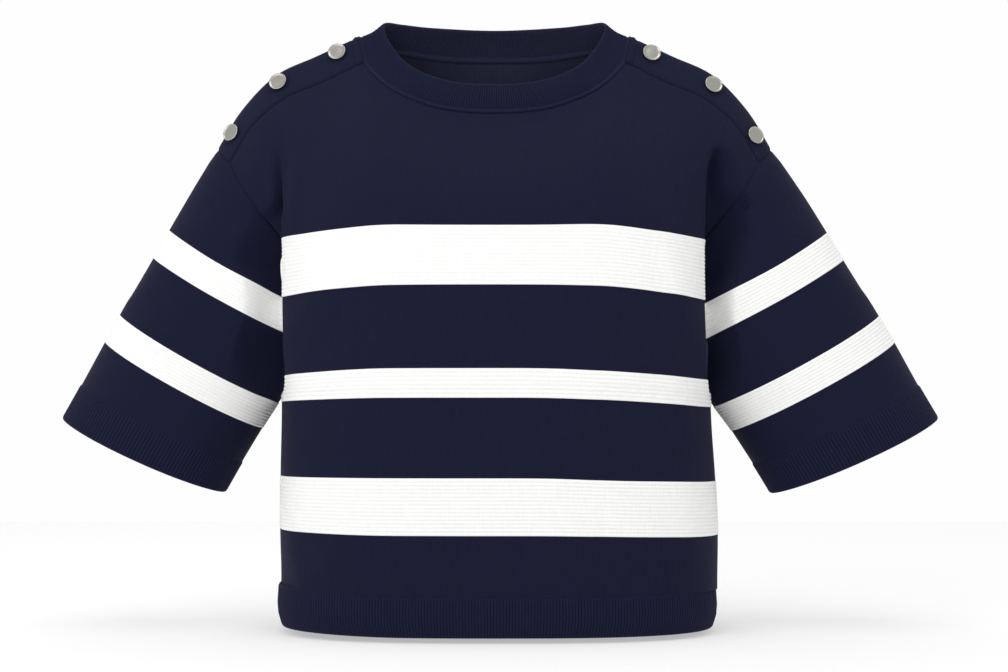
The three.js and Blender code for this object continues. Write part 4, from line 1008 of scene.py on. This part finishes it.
COLLAR_PROFILE = np.array([
    (0, -0.0012, 0), (0.004, -0.0002, 0), (0.03, 0.0005, 0), (0.06, 0.0006, 0), (0.09, 0.0003, 0),
    (0.115, 0, 0.0001), (0.15, 0, 0.0006), *((up, 0, 0.0007) for up in (0.3, 0.5, 0.7, 0.88)),
    (0.95, -0.0002, 0.0006), (0.985, -0.0006, 0.0004), (1, -0.0011, 0.0002), (0.985, -0.0017, -0.0003),
    (0.95, -0.0021, -0.0005), *((up, -0.0022, -0.0006) for up in (0.88, 0.6, 0.35)), (0.15, -0.0022, -0.0005),
    (0.11, -0.0022, 0), (0.06, -0.0028, 0), (-0.05, -0.0028, 0), (-0.06, -0.0022, 0),
])
collar_loops, collar_girth = collar_rings(9)
collar = band_mesh("collar_rib", collar_loops, COLLAR_RIBS, COLLAR_PROFILE, collar_girth)
collar.data.materials.append(rib_knit)
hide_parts("collar")
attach(collar, "root")


# The buttons: three on each strip, flat discs of polished metal with a raised rim, on short shanks.
BUTTONS = {
    "right": ((0.13, 0.38), (0.5, 0.5), (0.875, 0.57)),
    "left": ((0.13, 0.42), (0.52, 0.53), (0.875, 0.71)),
}
BUTTON_LIFT = 0.00075
BUTTON_DROOP = math.radians(12)
BUTTON_PROFILE = np.array([
    (0.0, 0.0), (0.002, 0.0), (0.002, 0.0016), (0.0068, 0.0016), (0.00735, 0.0018), (0.0076, 0.0022),
    (0.00762, 0.0027), (0.00748, 0.00302), (0.00728, 0.00318), (0.00708, 0.00318), (0.0069, 0.00305),
    (0.0064, 0.00272), (0.0062, 0.00262), (0.0058, 0.00258), (0.004, 0.00266), (0.002, 0.00272),
    (0.0, 0.00274),
])
BUTTON_SIDES = 72

button_metal, _ = new_material(
    "button_metal", {"Base Color": (0.44, 0.415, 0.385, 1), "Metallic": 1, "Roughness": 0.22})


def button_place(along, down_strip):
    """Where a button sits at +X, and the way it faces: out of the strip, drooping a little towards the
    front. It lies at shares of the strip's length and of the way down its front half."""
    foot = shoulder(along, -down_strip)
    down = unit(shoulder(along, -down_strip - 0.05) - foot)
    outward = unit(shoulder(along + 0.02, -down_strip) - foot)
    normal = unit(np.cross(down, outward))
    face = unit(normal * math.cos(BUTTON_DROOP) + down * math.sin(BUTTON_DROOP))
    return foot + normal * (STRIP_PROUD + BUTTON_LIFT), face, outward


def button_mesh(name, foot, face, outward, side):
    """A turned disc: the profile's radius and height carried round the axis, closed at both poles."""
    turn = np.linspace(0, 2 * math.pi, BUTTON_SIDES, endpoint=False)
    first = unit(outward - face * (outward @ face))
    second = np.cross(face, first)
    ring = np.cos(turn)[:, None] * first + np.sin(turn)[:, None] * second
    profile = BUTTON_PROFILE[1:-1]
    body_points = foot + profile[:, 1, None, None] * face + profile[:, 0, None, None] * ring[None]
    poles = np.array([foot + face * BUTTON_PROFILE[0, 1], foot + face * BUTTON_PROFILE[-1, 1]])
    points = np.concatenate([body_points.reshape(-1, 3), poles]) * [side, 1, 1]
    quads, _, _ = grid_faces(len(profile), BUTTON_SIDES, closed_rows=True)
    turned = np.arange(BUTTON_SIDES)
    after = np.roll(turned, -1)
    low_pole, high_pole = len(points) - 2, len(points) - 1
    top = (len(profile) - 1) * BUTTON_SIDES
    low_fan = np.stack([after, turned, np.full(BUTTON_SIDES, low_pole)], axis=1)
    high_fan = np.stack([top + turned, top + after, np.full(BUTTON_SIDES, high_pole)], axis=1)
    faces = [*quads.tolist(), *low_fan.tolist(), *high_fan.tolist()]
    if side < 0:
        faces = [face_points[::-1] for face_points in faces]
    return new_mesh(name, points.tolist(), faces)


for side_name, side in (("right", -1), ("left", 1)):
    for number, button in enumerate(BUTTONS[side_name], start=1):
        made = button_mesh(f"metal_button_{side_name}_{number}", *button_place(*button), side)
        made.data.materials.append(button_metal)
        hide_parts(f"button_{side_name}_{number}")
        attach(made, "root")


# The setting: a white floor just under the hem, soft studio light from the front and the left, and the
# camera level with the middle of the garment.
BACKDROP = 1.6
STAGE = {"half": 8, "top": 5, "floor": HEM_EDGE - 0.004}


def stage_plane(name, corners, white, glow, one_sided=False):
    """A white sheet that also glows, so that it shows as white as the paper round the garment. One that is
    one-sided is clear from behind."""
    paper, shader = new_material(name, {
        "Base Color": (white, white, white, 1), "Roughness": 1, "Specular IOR Level": 0,
        "Emission Color": (1, 1, 1, 1), "Emission Strength": glow})
    if one_sided:
        tree = paper.node_tree
        behind = add_node(tree, "ShaderNodeNewGeometry")["Backfacing"]
        clear = add_node(tree, "ShaderNodeBsdfTransparent")[0]
        mixed = add_node(tree, "ShaderNodeMixShader", {0: behind, 1: shader.outputs[0], 2: clear})
        tree.links.new(mixed[0], tree.nodes["Material Output"].inputs["Surface"])
    sheet = new_mesh(name, corners, [(0, 1, 2, 3)])
    sheet.data.materials.append(paper)


low, half = STAGE["floor"], STAGE["half"]
stage_plane("floor", [(-half, -half, low), (half, -half, low), (half, half, low), (-half, half, low)],
            0.56, 0.425)
stage_plane("wall", [(-half, BACKDROP, low), (half, BACKDROP, low), (half, BACKDROP, STAGE["top"]),
                     (-half, BACKDROP, STAGE["top"])], 0, 0.99, one_sided=True)

world = bpy.data.worlds.new("studio")
world.use_nodes = True
background = world.node_tree.nodes["Background"]
background.inputs["Color"].default_value = (1, 1, 1, 1)
background.inputs["Strength"].default_value = 0.74
bpy.context.scene.world = world
AIM = np.array((0, 0, -0.25))


def soft_light(name, place, size, power):
    """A square area light at a place, turned to face AIM."""
    light = bpy.data.lights.new(name, "AREA")
    light.size = size
    light.energy = power
    made = new_object(name, light)
    way = AIM - place
    made.location = place
    tilt = math.atan2(math.hypot(way[0], way[1]), -way[2])
    made.rotation_euler = (tilt, 0, math.atan2(way[1], way[0]) - math.pi / 2)


soft_light("key", (-1.6, -2.1, 0.7), 2, 21)
soft_light("fill", (1.2, -2.4, 0.2), 2, 4)
soft_light("overhead", (0, -0.7, 2.0), 1.6, 15)

FOCAL_PIXELS = 1647
FRAME_WIDTH = 1008
HORIZON_BELOW_MIDDLE = 94
SENSOR = 36
camera = new_object("camera", bpy.data.cameras.new("camera"))
camera.data.sensor_width = SENSOR
camera.data.lens = SENSOR * FOCAL_PIXELS / FRAME_WIDTH
camera.data.shift_y = HORIZON_BELOW_MIDDLE / FRAME_WIDTH
camera.location = (0.0081, -1.4, -0.3332)
camera.rotation_euler = (math.pi / 2, 0, 0)
bpy.context.scene.camera = camera
bpy.context.scene.view_settings.view_transform = "Standard"
